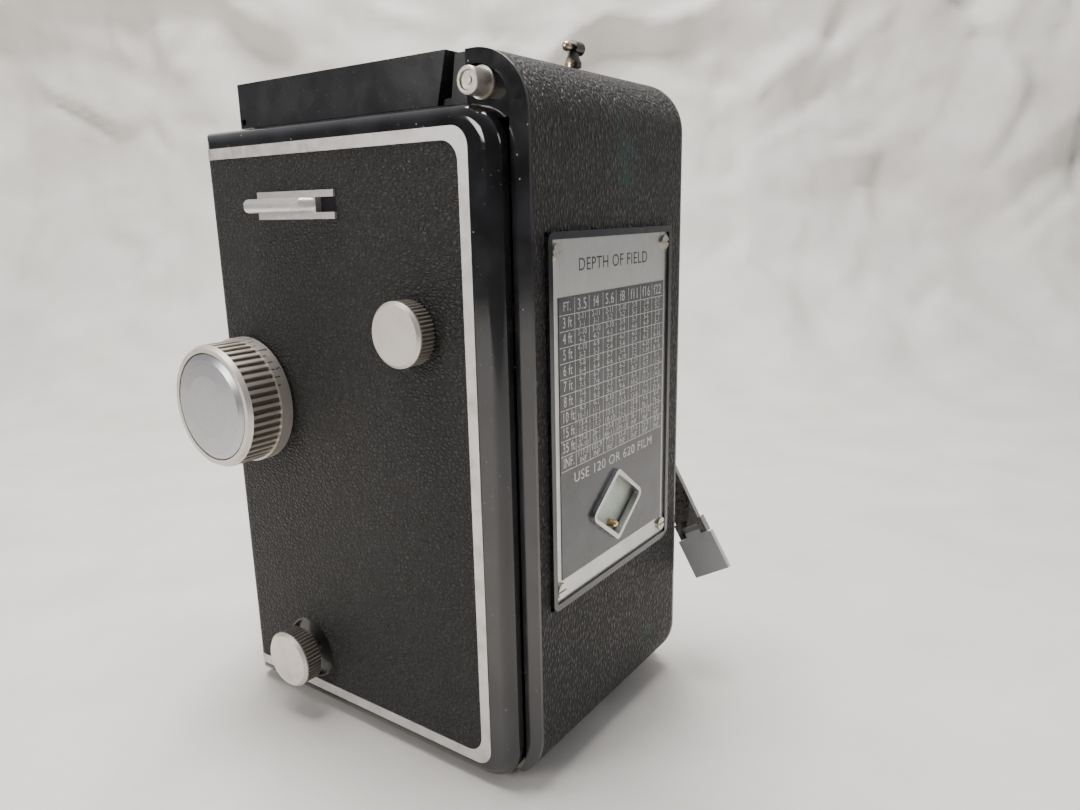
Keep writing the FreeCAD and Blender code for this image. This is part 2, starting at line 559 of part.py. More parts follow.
window_cut = diamond_inset("window_cut", "bezel_wide * 0.5", "0", "far", "window_corner")
print_cut = diamond_inset("print_cut", "fit", "0", "far", "bezel_corner")
screw_spots = [(x, z) for x in ("screw_left", "screw_right") for z in ("screw_low", "screw_high")]
screw_holes = [rod(f"screw_hole_{number}", "Y", spot, "0", "far", "screw_head * 0.6")
               for number, spot in enumerate(screw_spots)]
table_sheet = box("table_sheet", ("table_right", "table_left"), ("back_plane - back_skin", "table_face"),
                  ("table_low", "table_high"))
table = cut("table", table_sheet, window_cut, *screw_holes)
print_sheet = box("print_sheet", ("panel_right", "panel_left"), ("table_face", "print_face"),
                  ("print_low", "print_high"))
node(cut("printed", print_sheet, print_cut), "table_print")
bezel_block = diamond_inset("bezel_block", "fit", "table_face", "bezel_face", "bezel_corner")
bezel_open = diamond_inset("bezel_open", "bezel_wide", "0", "far", "window_corner")
node(cut("table_part", fuse("table_solid", table, bezel_block), bezel_open), "table_plate")

screws = []
for number, (x, z) in enumerate(screw_spots):
    head = rod(f"screw_head_{number}", "Y", (x, z), "table_face", "screw_proud", "screw_head")
    shank = rod(f"screw_shank_{number}", "Y", (x, z), "back_plane - back_skin", "table_face",
                "screw_head * 0.6")
    slot = box(f"screw_slot_{number}", (f"{x} - screw_head", f"{x} + screw_head"),
               ("screw_proud - slot_deep", "far"), (f"{z} - slot_wide / 2", f"{z} + slot_wide / 2"))
    screws.append(cut(f"screw_{number}", fuse(f"screw_solid_{number}", head, shank), slot))
node(group("screws", *screws), "table_screws")

node(box("shutter_sheet", ("shutter_right", "shutter_left"),
         ("shutter_near", "shutter_near + shutter_thick"),
         ("shutter_low", "shutter_high")), "window_shutter")
pin_outline = [("shutter_near + shutter_thick", "0"), ("shutter_near + shutter_thick", "pin_size"),
               ("pin_face - pin_size / 2", "pin_size"), ("pin_face", "pin_size / 2"), ("pin_face", "0")]
node(turned("shutter_knob", "Y", pin_outline, ("pin_x", "pin_z")), "window_pin")

plate_sheet = box("plate_sheet", both("plate_half"), ("plate_near", "plate_far"),
                  ("plate_low", "plate_high"))
plate_hole = rod("plate_hole", "Y", ("window_x", "window_z"), "0", "far", "red_radius + end_wall / 3")
node(cut("plate", plate_sheet, plate_hole), "pressure_plate")
spring_sheet = box("spring_sheet", both("plate_half - end_wall"), ("spring_near", "back_inner"),
                   ("spring_low", "spring_high"))
spring_window = box("spring_window", both("plate_half - end_wall - spring_half"), ("0", "far"),
                    ("spring_low + spring_half", "spring_high - spring_half"))
node(cut("spring", spring_sheet, spring_window), "pressure_spring")

# ------------------------------------------------------------------ roof catch
stem_outline = [("catch_stem_low", "0"), ("catch_stem_low", "catch_stem"),
                ("back_roof + fit", "catch_stem"),
                ("back_roof + fit", "catch_disc"), ("catch_disc_high", "catch_disc"),
                ("catch_bar_z - catch_bar / 2", "catch_neck"), ("catch_bar_z - catch_bar / 2", "0")]
stem = turned("stem", "Z", stem_outline, ("0", "catch_y"))
key = box("key", both("catch_key"), ("catch_y - catch_stem", "catch_y + catch_stem"),
          ("catch_stem_low - catch_key_thick", "catch_stem_low"))
bar_outline = [("catch_bar_right", "0"), ("catch_bar_right", "catch_bar * 0.8"),
               ("catch_bar_right + catch_bar * 0.2", "catch_bar"), ("catch_bar_left", "catch_bar"),
               ("catch_bar_left", "catch_neck"), ("catch_ball_x", "catch_neck"), ("catch_ball_x", "0")]
bar = turned("bar", "X", bar_outline, ("catch_y", "catch_bar_z"))
ball = doc.addObject("Part::Sphere", "ball")
place(ball, "catch_ball_x", "catch_y", "catch_bar_z")
bind(ball, "Radius", "catch_ball")
bar_solid = fuse("bar_solid", bar, ball)
node(fuse("catch_part", stem, key, bar_solid), "roof_catch")

# ------------------------------------------------------------------ post on the left cheek
post_outline = [("tower_half", "0"), ("tower_half", "post_base"), ("post_base_face", "post_base"),
                ("post_base_face", "post_radius"), ("post_face - fit * 4", "post_radius"),
                ("post_face", "post_radius - fit * 4"), ("post_face", "post_groove + fit * 4"),
                ("post_face - post_groove_deep", "post_groove"),
                ("post_face - post_groove_deep", "post_core"),
                ("post_face - fit * 4", "post_core"), ("post_face - fit * 4", "0")]
node(turned("post", "X", post_outline, ("post_y", "post_z")), "flash_post")

# ------------------------------------------------------------------ strap lugs
lug_plate = box("lug_plate", ("case_half - skin_depth", "lug_face"), ("lug_front", "lug_rear"),
                ("lug_low", "lug_high"))
lug_slot = box("lug_slot", ("case_half - skin_depth", "far"), ("lug_slot_front", "lug_slot_rear"),
               ("lug_low + end_wall / 2", "lug_high - end_wall / 2"))
tongue_outline = [("lug_face", "lug_slot_front"), ("tongue_face", "lug_slot_front - tongue_foot"),
                  ("tongue_face", "tongue_front + tongue_nose"),
                  ("tongue_face - tongue_nose", "tongue_front"), ("lug_face", "tongue_front")]
tongue_sill = float(sheet.get("lug_face")) + 0.5
tongue = soften(padded("tongue", "XY_Plane", tongue_outline, "tongue_low", "tongue_high"), "tongue_round",
                lambda edge: edge.CenterOfMass.x > tongue_sill and not is_along(edge, "Z"))
left_lug = fuse("left_lug", cut("lug_base", lug_plate, lug_slot), tongue)
node(group("lugs", left_lug, mirror_x("right_lug", left_lug)), "strap_lugs")

# ------------------------------------------------------------------ knobs for the film spools
def spool_knob(name, centre, radius, face):
    outline = [(f"{face} - knob_tall", "0"), (f"{face} - knob_tall", radius),
               (f"{face} - knob_bevel", radius),
               (face, f"{radius} - knob_bevel"), (face, "0")]
    knob = fluted(turned(name + "_grip", "X", outline, centre), "knob_flutes", radius, "flute",
                  f"{face} - knob_tall", "knob_tall - knob_bevel * 1.5")
    pin = rod(name + "_pin", "X", centre, f"{face} - knob_tall - sleeve_deep", f"{face} - knob_tall",
              "pin_radius")
    node(fuse(name + "_turning", knob, pin), name + "_knob")
    sleeve_far = f"{face} - knob_tall - fit * 2"
    tube = rod(name + "_tube", "X", centre, f"{face} - knob_tall - sleeve_deep", sleeve_far, "sleeve_outer")
    tube_bore = rod(name + "_tube_bore", "X", centre, "0", "far", "sleeve_bore")
    node(cut(name + "_sleeve", tube, tube_bore), name + "_spindle_sleeve")


spool_knob("upper", ("upper_y", "upper_z"), "upper_radius", "upper_face")
spool_knob("lower", ("lower_y", "lower_z"), "lower_radius", "lower_face")


def wall_bush(name, centre, outer, bore, low, high):
    ring = rod(name + "_ring", "X", centre, low, high, outer)
    hole = rod(name + "_hole", "X", centre, "-far", "far", bore)
    return cut(name, ring, hole)


upper_bush = wall_bush("upper_bush", ("upper_y", "upper_z"), "bush_outer", "sleeve_outer + fit",
                       "cavity_half", "case_half")
cup_outline = [("cavity_half", "sleeve_outer + fit"), ("cavity_half", "bush_outer"),
               ("cup_floor", "bush_outer"),
               ("cup_floor", "cup_outer"), ("case_half", "cup_outer"), ("case_half", "cup_inner"),
               ("cup_floor + fit * 6", "cup_inner"), ("cup_floor + fit * 6", "sleeve_outer + fit")]
node(turned("lower_cup", "X", cup_outline, ("lower_y", "lower_z")), "lower_knob_cup")

# ------------------------------------------------------------------ focusing knob
focus_axis = ("focus_y", "focus_z")
grip_outline = [("focus_base", "focus_shaft"), ("focus_base", "focus_skirt"),
                ("focus_skirt_end", "focus_skirt"),
                ("focus_skirt_end", "focus_grip"), ("focus_grip_end", "focus_grip"),
                ("focus_rim_face", "focus_grip - knob_bevel"), ("focus_rim_face", "focus_rim_inner"),
                ("focus_disc_low", "focus_rim_inner"), ("focus_disc_low", "focus_shaft")]
grip = fluted(turned("grip", "X", grip_outline, focus_axis), "knob_flutes", "focus_grip", "focus_flute",
              "focus_skirt_end", "focus_grip_end - focus_skirt_end")
node(grip, "focus_knob_grip")
disc_outline = [("focus_disc_low", "0"), ("focus_disc_low", "focus_disc"),
                ("focus_disc_edge", "focus_disc"),
                ("focus_disc_top - fit * 4", "focus_disc * 0.9"), ("focus_disc_top", "focus_disc * 0.6"),
                ("focus_disc_top", "0")]
node(turned("focus_cap", "X", disc_outline, focus_axis), "focus_knob_disc")
shaft_outline = [("focus_shaft_in", "0"), ("focus_shaft_in", "pinion"),
                 ("cavity_half - knob_bevel", "pinion"),
                 ("cavity_half - knob_bevel", "focus_shaft"), ("focus_disc_low", "focus_shaft"),
                 ("focus_disc_low", "0")]
node(turned("focus_rod", "X", shaft_outline, focus_axis), "focus_shaft")
focus_bush = wall_bush("focus_sleeve", focus_axis, "focus_bush", "focus_shaft + fit", "cavity_half",
                       "case_half")

# ------------------------------------------------------------------ lens panel and what rides on it
panel_outline = rectangle(both("panel_half"), ("panel_low", "panel_high"))
panel_block = padded("panel_block", "XZ_Plane", panel_outline, "panel_face", "panel_back")
soften(panel_block, "panel_corner", lambda edge: is_along(edge, "Y"))
view_centre = ("0", "view_axis")
take_centre = ("0", "take_axis")
view_port = rod("view_port", "Y", view_centre, "-far", "far", "view_hole")
take_port = rod("take_port", "Y", take_centre, "-far", "far", "take_hole")
release_port = rod("release_port", "Y", ("release_x", "release_z"), "-far", "far", "release_radius + fit")
panel_plate = cut("panel_plate", panel_block, view_port, take_port, release_port)

tube_block = box("tube_block", both("tube_half"), ("tube_front", "tube_rear"), ("tube_low", "tube_high"))
tube_open = box("tube_open", both("tube_half - tube_wall"),
                ("tube_front - end_wall", "tube_rear + end_wall"),
                ("tube_low + tube_wall", "tube_high - tube_wall"))
light_tube = cut("light_tube", tube_block, tube_open)
rack = box("rack_bar", ("rack_in", "rack_out"), ("panel_back", "rack_rear"),
           ("rack_low", "focus_z - pinion - rack_gap"))

barrel_outline = [("panel_face", "view_hole"), ("panel_face", "view_flange"),
                  ("view_flange_face", "view_flange"),
                  ("view_flange_face", "view_body"), ("view_face", "view_body"), ("view_face",
                                                                                  "view_glass + rim_wall"),
                  ("view_face + glass_inset", "view_glass"), ("view_face + glass_inset + glass_thick",
                                                              "view_glass"),
                  ("view_face + glass_inset + glass_thick", "view_hole")]
node(turned("view_barrel", "Y", barrel_outline, view_centre), "viewing_barrel")


def lens_outline(front, radius):
    """A front element with a domed face, as a stepped turning."""
    return [(f"{front} - glass_dome", "0"), (f"{front} - glass_dome * 0.9", f"{radius} * 0.35"),
            (f"{front} - glass_dome * 0.6", f"{radius} * 0.65"), (front, f"{radius} - fit"),
            (f"{front} + glass_thick", f"{radius} - fit"), (f"{front} + glass_thick", "0")]


node(turned("view_element", "Y", lens_outline("view_face + glass_inset", "view_glass"), view_centre),
     "viewing_lens")
housing_outline = [("panel_face", "take_hole"), ("panel_face", "shutter_radius"),
                   ("shutter_face + rim_wall", "shutter_radius"), ("shutter_face",
                                                                   "shutter_radius - rim_wall"),
                   ("shutter_face", "barrel_radius"), ("barrel_face", "barrel_radius"),
                   ("barrel_face", "take_glass + rim_wall"), ("barrel_face + glass_inset", "take_glass"),
                   ("barrel_face + glass_inset + glass_thick", "take_glass"),
                   ("barrel_face + glass_inset + glass_thick", "take_hole - rim_wall")]
node(turned("housing", "Y", housing_outline, take_centre), "shutter_housing")
node(turned("take_element", "Y", lens_outline("barrel_face + glass_inset", "take_glass"), take_centre),
     "taking_lens")


def lever_ring(label, front, tab):
    """A control ring running on the taking lens barrel, with a thumb tab. tab gives its X and Z spans."""
    back = f"{front} + ring_thick"
    ring = rod(label + "_ring", "Y", take_centre, front, back, "ring_outer")
    arm = box(label + "_arm", tab[0], (front, back), tab[1])
    bore = rod(label + "_bore", "Y", take_centre, "-far", "far", "barrel_radius + ring_fit")
    return node(cut(label + "_part", fuse(label + "_solid", ring, arm), bore), label)


ring_rear_face = "shutter_face - ring_gap - ring_thick"
lever_ring("speed_ring", ring_rear_face,
           (("-tab_reach", "0"), ("take_axis - tab_wide / 2", "take_axis + tab_wide / 2")))
lever_ring("aperture_ring", ring_rear_face + " - ring_gap - ring_thick",
           (("0", "tab_reach"), ("take_axis - tab_wide / 2", "take_axis + tab_wide / 2")))
cock_boss = rod("cock_boss", "Y", ("cock_x", "cock_z"), "panel_face - fit - cock_thick", "panel_face - fit",
                "cock_wide / 2")
cock_bar = box("cock_bar", ("cock_x", "cock_x + cock_reach"),
               ("panel_face - fit - cock_thick", "panel_face - fit"),
               ("cock_z - cock_wide / 3", "cock_z + cock_wide / 3"))
cock_grip = rod("cock_grip", "Y", ("cock_x + cock_reach", "cock_z"), "panel_face - fit - cock_thick * 3",
                "panel_face - fit", "cock_wide / 3")
node(fuse("cock_solid", cock_boss, cock_bar, cock_grip), "cocking_lever")
release_outline = [("panel_face - release_proud", "0"),
                   ("panel_face - release_proud", "release_radius * 0.8"),
                   ("panel_face - release_proud + fit * 8", "release_radius"), ("panel_back",
                                                                                "release_radius"),
                   ("panel_back", "0")]
node(turned("release", "Y", release_outline, ("release_x", "release_z")), "shutter_release")
collar_ring = rod("collar_ring", "Y", ("release_x", "release_z"), "panel_face - rim_wall", "panel_face",
                  "release_collar")
collar_bore = rod("collar_bore", "Y", ("release_x", "release_z"), "-far", "far", "release_radius + fit")
collar = cut("collar", collar_ring, collar_bore)
socket_rod = rod("socket_rod", "Y", ("socket_x", "socket_z"), "socket_face", "panel_face", "socket_radius")
socket_hole = rod("socket_hole", "Y", ("socket_x", "socket_z"), "-far", "socket_floor", "socket_bore")
socket = cut("socket", socket_rod, socket_hole)
node(fuse("panel_solid", panel_plate, light_tube, rack, collar, socket), "lens_panel")

# ------------------------------------------------------------------ dark box and film path
def tapered_box(name, inset):
    """The light path from the lens to the film gate, narrow in front."""
    made = doc.addObject("Part::Wedge", name)
    ends = {"Ymin": "box_front", "Ymax": "gate_front", "Xmin": f"{inset} - box_front_half",
            "Xmax": f"box_front_half - {inset}", "X2min": f"{inset} - box_rear_half",
            "X2max": f"box_rear_half - {inset}", "Zmin": f"box_front_low + {inset}",
            "Zmax": f"box_front_high - {inset}", "Z2min": f"box_rear_low + {inset}",
            "Z2max": f"box_rear_high - {inset}"}
    for prop, text in ends.items():
        bind(made, prop, text)
    return made


box_shell = cut("box_shell", tapered_box("box_outside", "0 * box_wall"),
                tapered_box("box_inside", "box_wall"))
gate_plate = box("gate_plate", both("gate_plate_half"), ("gate_front", "gate_rear"),
                 ("gate_plate_low", "gate_plate_high"))
gate_window = box("gate_window", both("gate_half"), ("gate_front - end_wall", "far"),
                  ("gate_low", "gate_high"))
ears = []
ear_holes = []
for number, height in enumerate(("roller_low_z", "roller_high_z")):
    for side, (near, away) in enumerate((("ear_in", "ear_out"), ("-ear_out", "-ear_in"))):
        ears.append(box(f"ear_{number}_{side}", (near, away), ("roller_y - ear_reach", "gate_rear"),
                        (f"{height} - ear_reach", f"{height} + ear_reach")))
        ears.append(box(f"ear_root_{number}_{side}", (near, away), ("gate_front", "gate_rear"),
                        ("roller_low_z", "roller_high_z")))
    ear_holes.append(rod(f"ear_hole_{number}", "X", ("roller_y", height), "-far", "far", "journal + fit"))
node(cut("dark_box_part", fuse("dark_box_solid", box_shell, cut("gate", gate_plate, gate_window), *ears),
         *ear_holes), "dark_box")


def film_roller(label, height):
    outline = [("-journal_half", "0"), ("-journal_half", "journal"), ("-roller_half", "journal"),
               ("-roller_half", "roller"), ("roller_half", "roller"), ("roller_half", "journal"),
               ("journal_half", "journal"), ("journal_half", "0")]
    return node(turned(label + "_turning", "X", outline, ("roller_y", height)), label)


film_roller("lower_film_roller", "roller_low_z")
film_roller("upper_film_roller", "roller_high_z")


def film_spool(label, centre):
    outline = [("-spool_half", "spool_bore"), ("-spool_half", "spool_flange"),
               ("-spool_half + flange_thick", "spool_flange"), ("-spool_half + flange_thick", "spool_core"),
               ("spool_half - flange_thick", "spool_core"), ("spool_half - flange_thick", "spool_flange"),
               ("spool_half", "spool_flange"), ("spool_half", "spool_bore")]
    return node(turned(label + "_turning", "X", outline, centre), label)


film_spool("take_up_spool", ("upper_y", "upper_z"))
film_spool("supply_spool", ("lower_y", "lower_z"))

# ------------------------------------------------------------------ reflex mirror and screen
def slanted(name, half, low, thick, long_way):
    """A plate at 45 degrees that rises towards the back, its reflecting side up and forwards."""
    made = doc.addObject("Part::Box", name)
    made.Placement = FreeCAD.Placement(V(0, 0, 0), FreeCAD.Rotation(V(1, 0, 0), 45))
    drop = f"({low} + {thick}) * sqrt(2) / 2"
    bind(made, "Placement.Base.x", f"-{half}")
    made.setExpression("Placement.Base.y", linked_with_root(f"mirror_start_y + {drop}"))
    made.setExpression("Placement.Base.z", linked_with_root(f"mirror_start_y + view_axis - {drop}"))
    bind(made, "Length", f"2 * {half}")
    bind(made, "Width", long_way)
    bind(made, "Height", thick)
    return made


def linked_with_root(text):
    """The same as linked, for a formula that also takes a square root."""
    return linked(text).replace("Dimensions.sqrt", "sqrt")


node(slanted("mirror_glass", "mirror_half", "0 * fit", "mirror_thick", "mirror_long"), "reflex_mirror")
node(slanted("mirror_back", "bracket_half", "mirror_thick", "bracket_thick", "mirror_long"),
     "mirror_bracket")
node(box("screen", both("glass_half"), both("glass_half"), ("screen_low", "screen_low + screen_thick")),
     "ground_glass")
base_block = box("base_block", both("hood_base_half"), ("hood_front", "hood_base_rear"),
                 ("hood_base_low", "hood_base_high"))
screen_seat = box("screen_seat", both("glass_half + fit"), both("glass_half + fit"),
                  ("hood_base_low - end_wall", "screen_low + screen_thick"))
base_open = box("base_open", both("hood_open_half"), both("hood_open_half"), ("0", "far * 2"))
hood_floor = cut("hood_floor", base_block, screen_seat, base_open)

# ------------------------------------------------------------------ folding hood
strip_outline = [("strip_front_low", "strip_low"), ("strip_rear", "strip_low"), ("strip_rear", "strip_top"),
                 ("strip_front_top", "strip_top")]
node(padded("strip", "YZ_Plane", strip_outline, "-strip_half", "strip_half"), "hood_rear_strip")

lid_outline = [("lid_front", "lid_low"), ("lid_rear_low", "lid_low"), ("lid_rear_top", "lid_top"),
               ("lid_front", "lid_top")]
lid_block = padded("lid_block", "YZ_Plane", lid_outline, "-hood_half", "hood_half")
lid_hollow = box("lid_hollow", both("hood_half - lid_wall"),
                 ("lid_front + lid_wall", "lid_rear_low - lid_wall"),
                 ("0", "lid_top - lid_wall"))
lid_rear_room = box("lid_rear_room", both("hood_half - lid_wall"), ("0", "far"),
                    ("0", "hood_base_high + mesh_gap"))
ear_room = box("ear_room", ("ear_start - mesh_gap", "ear_end + mesh_gap"),
               ("-far", "pivot_y + lug_radius * 2"),
               ("0", "pivot_z + lug_radius + mesh_gap * 2"))
pivot_axis = ("pivot_y", "pivot_z")
lid_lug = rod("lid_lug", "X", pivot_axis, "lug_in", "lug_out", "lug_radius")
lid_lug_root = box("lid_lug_root", ("lug_in", "lug_out"), ("lid_front + fit", "pivot_y + lug_radius"),
                   ("pivot_z", "pivot_z + lug_radius * 2"))
lid_lug_mirror = mirror_x("lid_lug_mirror", fuse("lid_lug_solid", lid_lug, lid_lug_root))
lid_solid = fuse("lid_solid", cut("lid_tray", lid_block, lid_hollow, lid_rear_room, ear_room,
                                  mirror_x("ear_room_right", ear_room)),
                 doc.getObject("lid_lug_solid"), lid_lug_mirror)
lid_bore = rod("lid_bore", "X", pivot_axis, "-far", "far", "hood_pin + fit")
arm_axis = ("glass_arm_y", "lid_top - lid_wall - arm_barrel * 1.4")
lid_eye = box("lid_eye", ("arm_ear_in", "arm_ear_out"),
              ("glass_arm_y - arm_barrel", "glass_arm_y + arm_barrel"),
              ("lid_top - lid_wall - arm_barrel * 2.5", "lid_top - lid_wall"))
eye_bore = rod("eye_bore", "X", arm_axis, "-arm_ear_out - fit", "arm_ear_out + fit", "arm_pin + fit")
node(cut("lid", fuse("lid_with_eyes", lid_solid, lid_eye, mirror_x("lid_eye_right", lid_eye)), lid_bore,
         eye_bore),
     "hood_lid")
ear = box("ear", ("ear_start", "ear_end"), ("pivot_y - lug_radius * 0.6", "hood_front"),
          ("hood_base_low", "pivot_z + lug_radius * 0.6"))
ears_pair = fuse("ears_pair", ear, mirror_x("ear_right", ear))
hood_pin = rod("hood_pin_rod", "X", pivot_axis, "-hood_pin_half", "hood_pin_half", "hood_pin")
node(fuse("hood_base_part", hood_floor, ears_pair, hood_pin), "hood_base")

side_flap = [("flap_hinge_x", "flap_front_y"), ("flap_hinge_x", "flap_rear_y"),
             ("flap_hinge_x - flap_wide", "flap_rear_y - flap_wide"),
             ("flap_hinge_x - flap_wide", "flap_front_y + flap_wide")]
left_leaf = padded("left_leaf", "XY_Plane", side_flap, "flap_low", "flap_low + flap_thick")
left_roll = rod("left_roll", "Y", ("flap_hinge_x", "flap_pin_z"), "flap_front_y", "flap_rear_y",
                "flap_hinge")
left_flap = node(fuse("left_flap", left_leaf, left_roll), "hood_flap_left")
node(mirror_x("right_flap", left_flap), "hood_flap_right")
rear_flap = [("-flap_hinge_x + mitre_gap * 2", "flap_rear_y + mitre_gap"),
             ("flap_hinge_x - mitre_gap * 2", "flap_rear_y + mitre_gap"),
             ("flap_hinge_x - flap_wide - mitre_gap", "flap_rear_y - flap_wide + mitre_gap * 2"),
             ("-flap_hinge_x + flap_wide + mitre_gap", "flap_rear_y - flap_wide + mitre_gap * 2")]
rear_leaf = padded("rear_leaf", "XY_Plane", rear_flap, "flap_low", "flap_low + flap_thick")
rear_roll = rod("rear_roll", "X", ("flap_rear_y + mitre_gap + flap_hinge / 2", "flap_pin_z"),
                "-flap_hinge_x + mitre_gap * 4", "flap_hinge_x - mitre_gap * 4", "flap_hinge")
node(fuse("rear_flap_solid", rear_leaf, rear_roll), "hood_flap_rear")

arm_barrel = rod("arm_barrel", "X", arm_axis, "-arm_ear_in + mesh_gap / 2", "arm_ear_in - mesh_gap / 2",
                 "arm_barrel")
arm_pins = rod("arm_pins", "X", arm_axis, "-arm_ear_out", "arm_ear_out", "arm_pin")
arm_leaf = box("arm_leaf", both("arm_half"), ("glass_arm_y", "glass_centre_y - glass_ring_bore"),
               ("glass_z - glass_tall / 4", "glass_z + glass_tall / 4"))
arm_riser = box("arm_riser", both("arm_half"),
                ("glass_arm_y - arm_barrel / 2", "glass_arm_y + arm_barrel / 2"),
                ("glass_z - glass_tall / 4", "lid_top - lid_wall - arm_barrel * 1.4"))
glass_hoop = rod("glass_hoop", "Z", ("0", "glass_centre_y"), "glass_z - glass_tall / 2",
                 "glass_z + glass_tall / 2",
                 "glass_ring")
hoop_bore = rod("hoop_bore", "Z", ("0", "glass_centre_y"), "0", "far * 2", "glass_ring_bore")
magnifier = cut("magnifier", fuse("magnifier_solid", arm_barrel, arm_pins, arm_leaf, arm_riser,
                                  glass_hoop), hoop_bore)
node(magnifier, "magnifier_frame")
node(rod("magnifier_disc", "Z", ("0", "glass_centre_y"), "glass_z - glass_tall / 3",
         "glass_z + glass_tall / 3",
         "glass_ring_bore"), "magnifier_lens")

# ------------------------------------------------------------------ winding crank, gears and counter
crank_axis = ("crank_y", "crank_z")
crank_bush = wall_bush("crank_sleeve", crank_axis, "crank_bush", "crank_shaft + fit", "crank_bush_face",
                       "gear_well_far")
node(group("bushes", upper_bush, focus_bush, crank_bush), "shaft_bushes")
axle_outline = [("gear_near", "0"), ("gear_near", "gear_radius"), ("gear_far", "gear_radius"),
                ("gear_far", "crank_shaft"), ("crank_hub_near", "crank_shaft"),
                ("crank_hub_near", "crank_hub"), ("crank_arm_near", "crank_hub * 0.8"), ("crank_arm_near",
                                                                                         "0")]
node(turned("axle", "X", axle_outline, crank_axis), "crank_hub")
lean = FreeCAD.Rotation(V(1, 0, 0), DIMENSIONS["crank_lean"])


def leaning(thing):
    """Sets a crank piece, drawn hanging straight down from the crank's axis, at the angle it rests at."""
    thing.Placement = FreeCAD.Placement(V(0, 0, 0), lean)
    place(thing, "0", "crank_y", "crank_z")
    return thing


arm_profile = [("-crank_arm_half", "0"), ("crank_arm_half", "0"), ("crank_tip_half", "-crank_arm_long"),
               ("-crank_tip_half", "-crank_arm_long")]
arm_plate = padded("arm_plate", "YZ_Plane", arm_profile, "crank_arm_far", "crank_arm_near")
arm_eye = rod("arm_eye", "X", ("0", "0"), "crank_arm_far", "crank_arm_near", "crank_hub * 0.8")
fork_plates = [box(f"fork_{number}", ("leaf_far - leaf_barrel / 2", "crank_arm_near"), spot,
                   ("-crank_arm_long - leaf_barrel - rim_wall", "-crank_arm_long + rim_wall"))
               for number, spot in enumerate((("-fork_half", "-leaf_barrel_half - mesh_gap / 2"),
                                              ("leaf_barrel_half + mesh_gap / 2", "fork_half")))]
arm_solid = fuse("arm_solid", arm_plate, arm_eye, *fork_plates)
leaf_axis = ("crank_arm_far - fit", "-leaf_pin_reach")
fork_bore = rod("fork_bore", "Y", leaf_axis, "-fork_half - fit", "fork_half + fit", "leaf_pin")
node(leaning(cut("arm_part", arm_solid, fork_bore)), "crank_arm")
handle_pin = leaning(group("handle_pin", rod("handle_pin_rod", "Y", leaf_axis, "-fork_half", "fork_half",
                                             "leaf_pin")))
handle_plate = box("handle_plate", ("leaf_far", "leaf_near"), both("leaf_half"),
                   ("-leaf_end", "-leaf_start"))
handle_barrel = rod("handle_barrel", "Y", leaf_axis, "-leaf_barrel_half", "leaf_barrel_half", "leaf_barrel")
handle_neck = box("handle_neck", ("leaf_far", "leaf_near"), both("leaf_barrel_half"),
                  ("-leaf_start", "-leaf_pin_reach"))
handle_bore = rod("handle_bore", "Y", leaf_axis, "-far", "far", "leaf_pin + fit")
node(leaning(cut("handle_part", fuse("handle_solid", handle_plate, handle_barrel, handle_neck),
                 handle_bore)),
     "crank_handle")
cap_slot = box("cap_slot", ("crank_cap_face - fit", "crank_cap_face + slot_deep"),
               ("crank_y - crank_cap", "crank_y + crank_cap"), ("crank_z - slot_wide",
                                                                "crank_z + slot_wide"))
crank_screw = cut("crank_screw", rod("cap_rod", "X", crank_axis, "crank_cap_face", "crank_arm_far",
                                     "crank_cap"),
                  cap_slot)
node(group("crank_pins", handle_pin, crank_screw), "crank_fasteners")


def gear_disc(label, centre):
    return node(rod(label + "_disc", "X", centre, "gear_far", "gear_near", "gear_radius"), label)


gear_disc("spool_gear", ("upper_y", "upper_z"))

counter_axis = ("counter_y", "counter_z")
node(rod("dial", "X", counter_axis, "counter_far", "counter_near", "counter_radius"), "counter_dial")

# ------------------------------------------------------------------ checks and files
doc.recompute()
for item in doc.Objects:
    if "Invalid" in item.State or "Error" in item.State:
        raise RuntimeError(f"{item.Name} ({item.Label}) did not compute")
for item in NODES:
    shape = item.Shape
    if shape.isNull() or not shape.isValid() or shape.Volume < 0.01:
        raise RuntimeError(f"{item.Label} has no sound solid")
    print(item.Label, len(shape.Solids), round(shape.Volume, 1))

os.makedirs("parts", exist_ok=True)
for old in os.listdir("parts"):
    if old.endswith(".step"):
        os.remove(os.path.join("parts", old))
for item in NODES:
    item.Shape.exportStep(f"parts/{item.Label}.step")
print(len(NODES), "sub-parts")
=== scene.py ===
"""The twin lens reflex camera's looks: materials, printed table, marks, stage, light and camera."""

import json
import math

import bmesh
import bpy
from mathutils import Matrix, Vector, noise


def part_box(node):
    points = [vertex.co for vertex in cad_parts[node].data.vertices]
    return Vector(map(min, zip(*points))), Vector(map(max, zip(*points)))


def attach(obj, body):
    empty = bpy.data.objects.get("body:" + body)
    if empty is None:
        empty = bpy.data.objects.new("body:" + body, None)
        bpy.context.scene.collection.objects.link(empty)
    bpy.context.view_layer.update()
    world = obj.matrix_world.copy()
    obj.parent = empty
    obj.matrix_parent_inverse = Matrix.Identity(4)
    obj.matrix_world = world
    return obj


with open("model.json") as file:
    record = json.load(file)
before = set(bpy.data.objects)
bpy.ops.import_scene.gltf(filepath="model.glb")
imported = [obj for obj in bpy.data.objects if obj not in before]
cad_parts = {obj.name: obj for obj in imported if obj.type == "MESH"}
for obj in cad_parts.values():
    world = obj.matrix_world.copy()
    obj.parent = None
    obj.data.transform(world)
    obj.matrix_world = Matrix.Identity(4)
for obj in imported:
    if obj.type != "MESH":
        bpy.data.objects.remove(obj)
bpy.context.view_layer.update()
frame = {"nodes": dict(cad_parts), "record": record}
nodes = frame["nodes"]
NOISE_SEED = 7
noise.seed_set(NOISE_SEED)
MM = 0.001


# --- small helpers -------------------------------------------------------------------------------
def mm(x, y, z):
    """A point given in millimetres, in the scene's metres."""
    return Vector((x * MM, y * MM, z * MM))


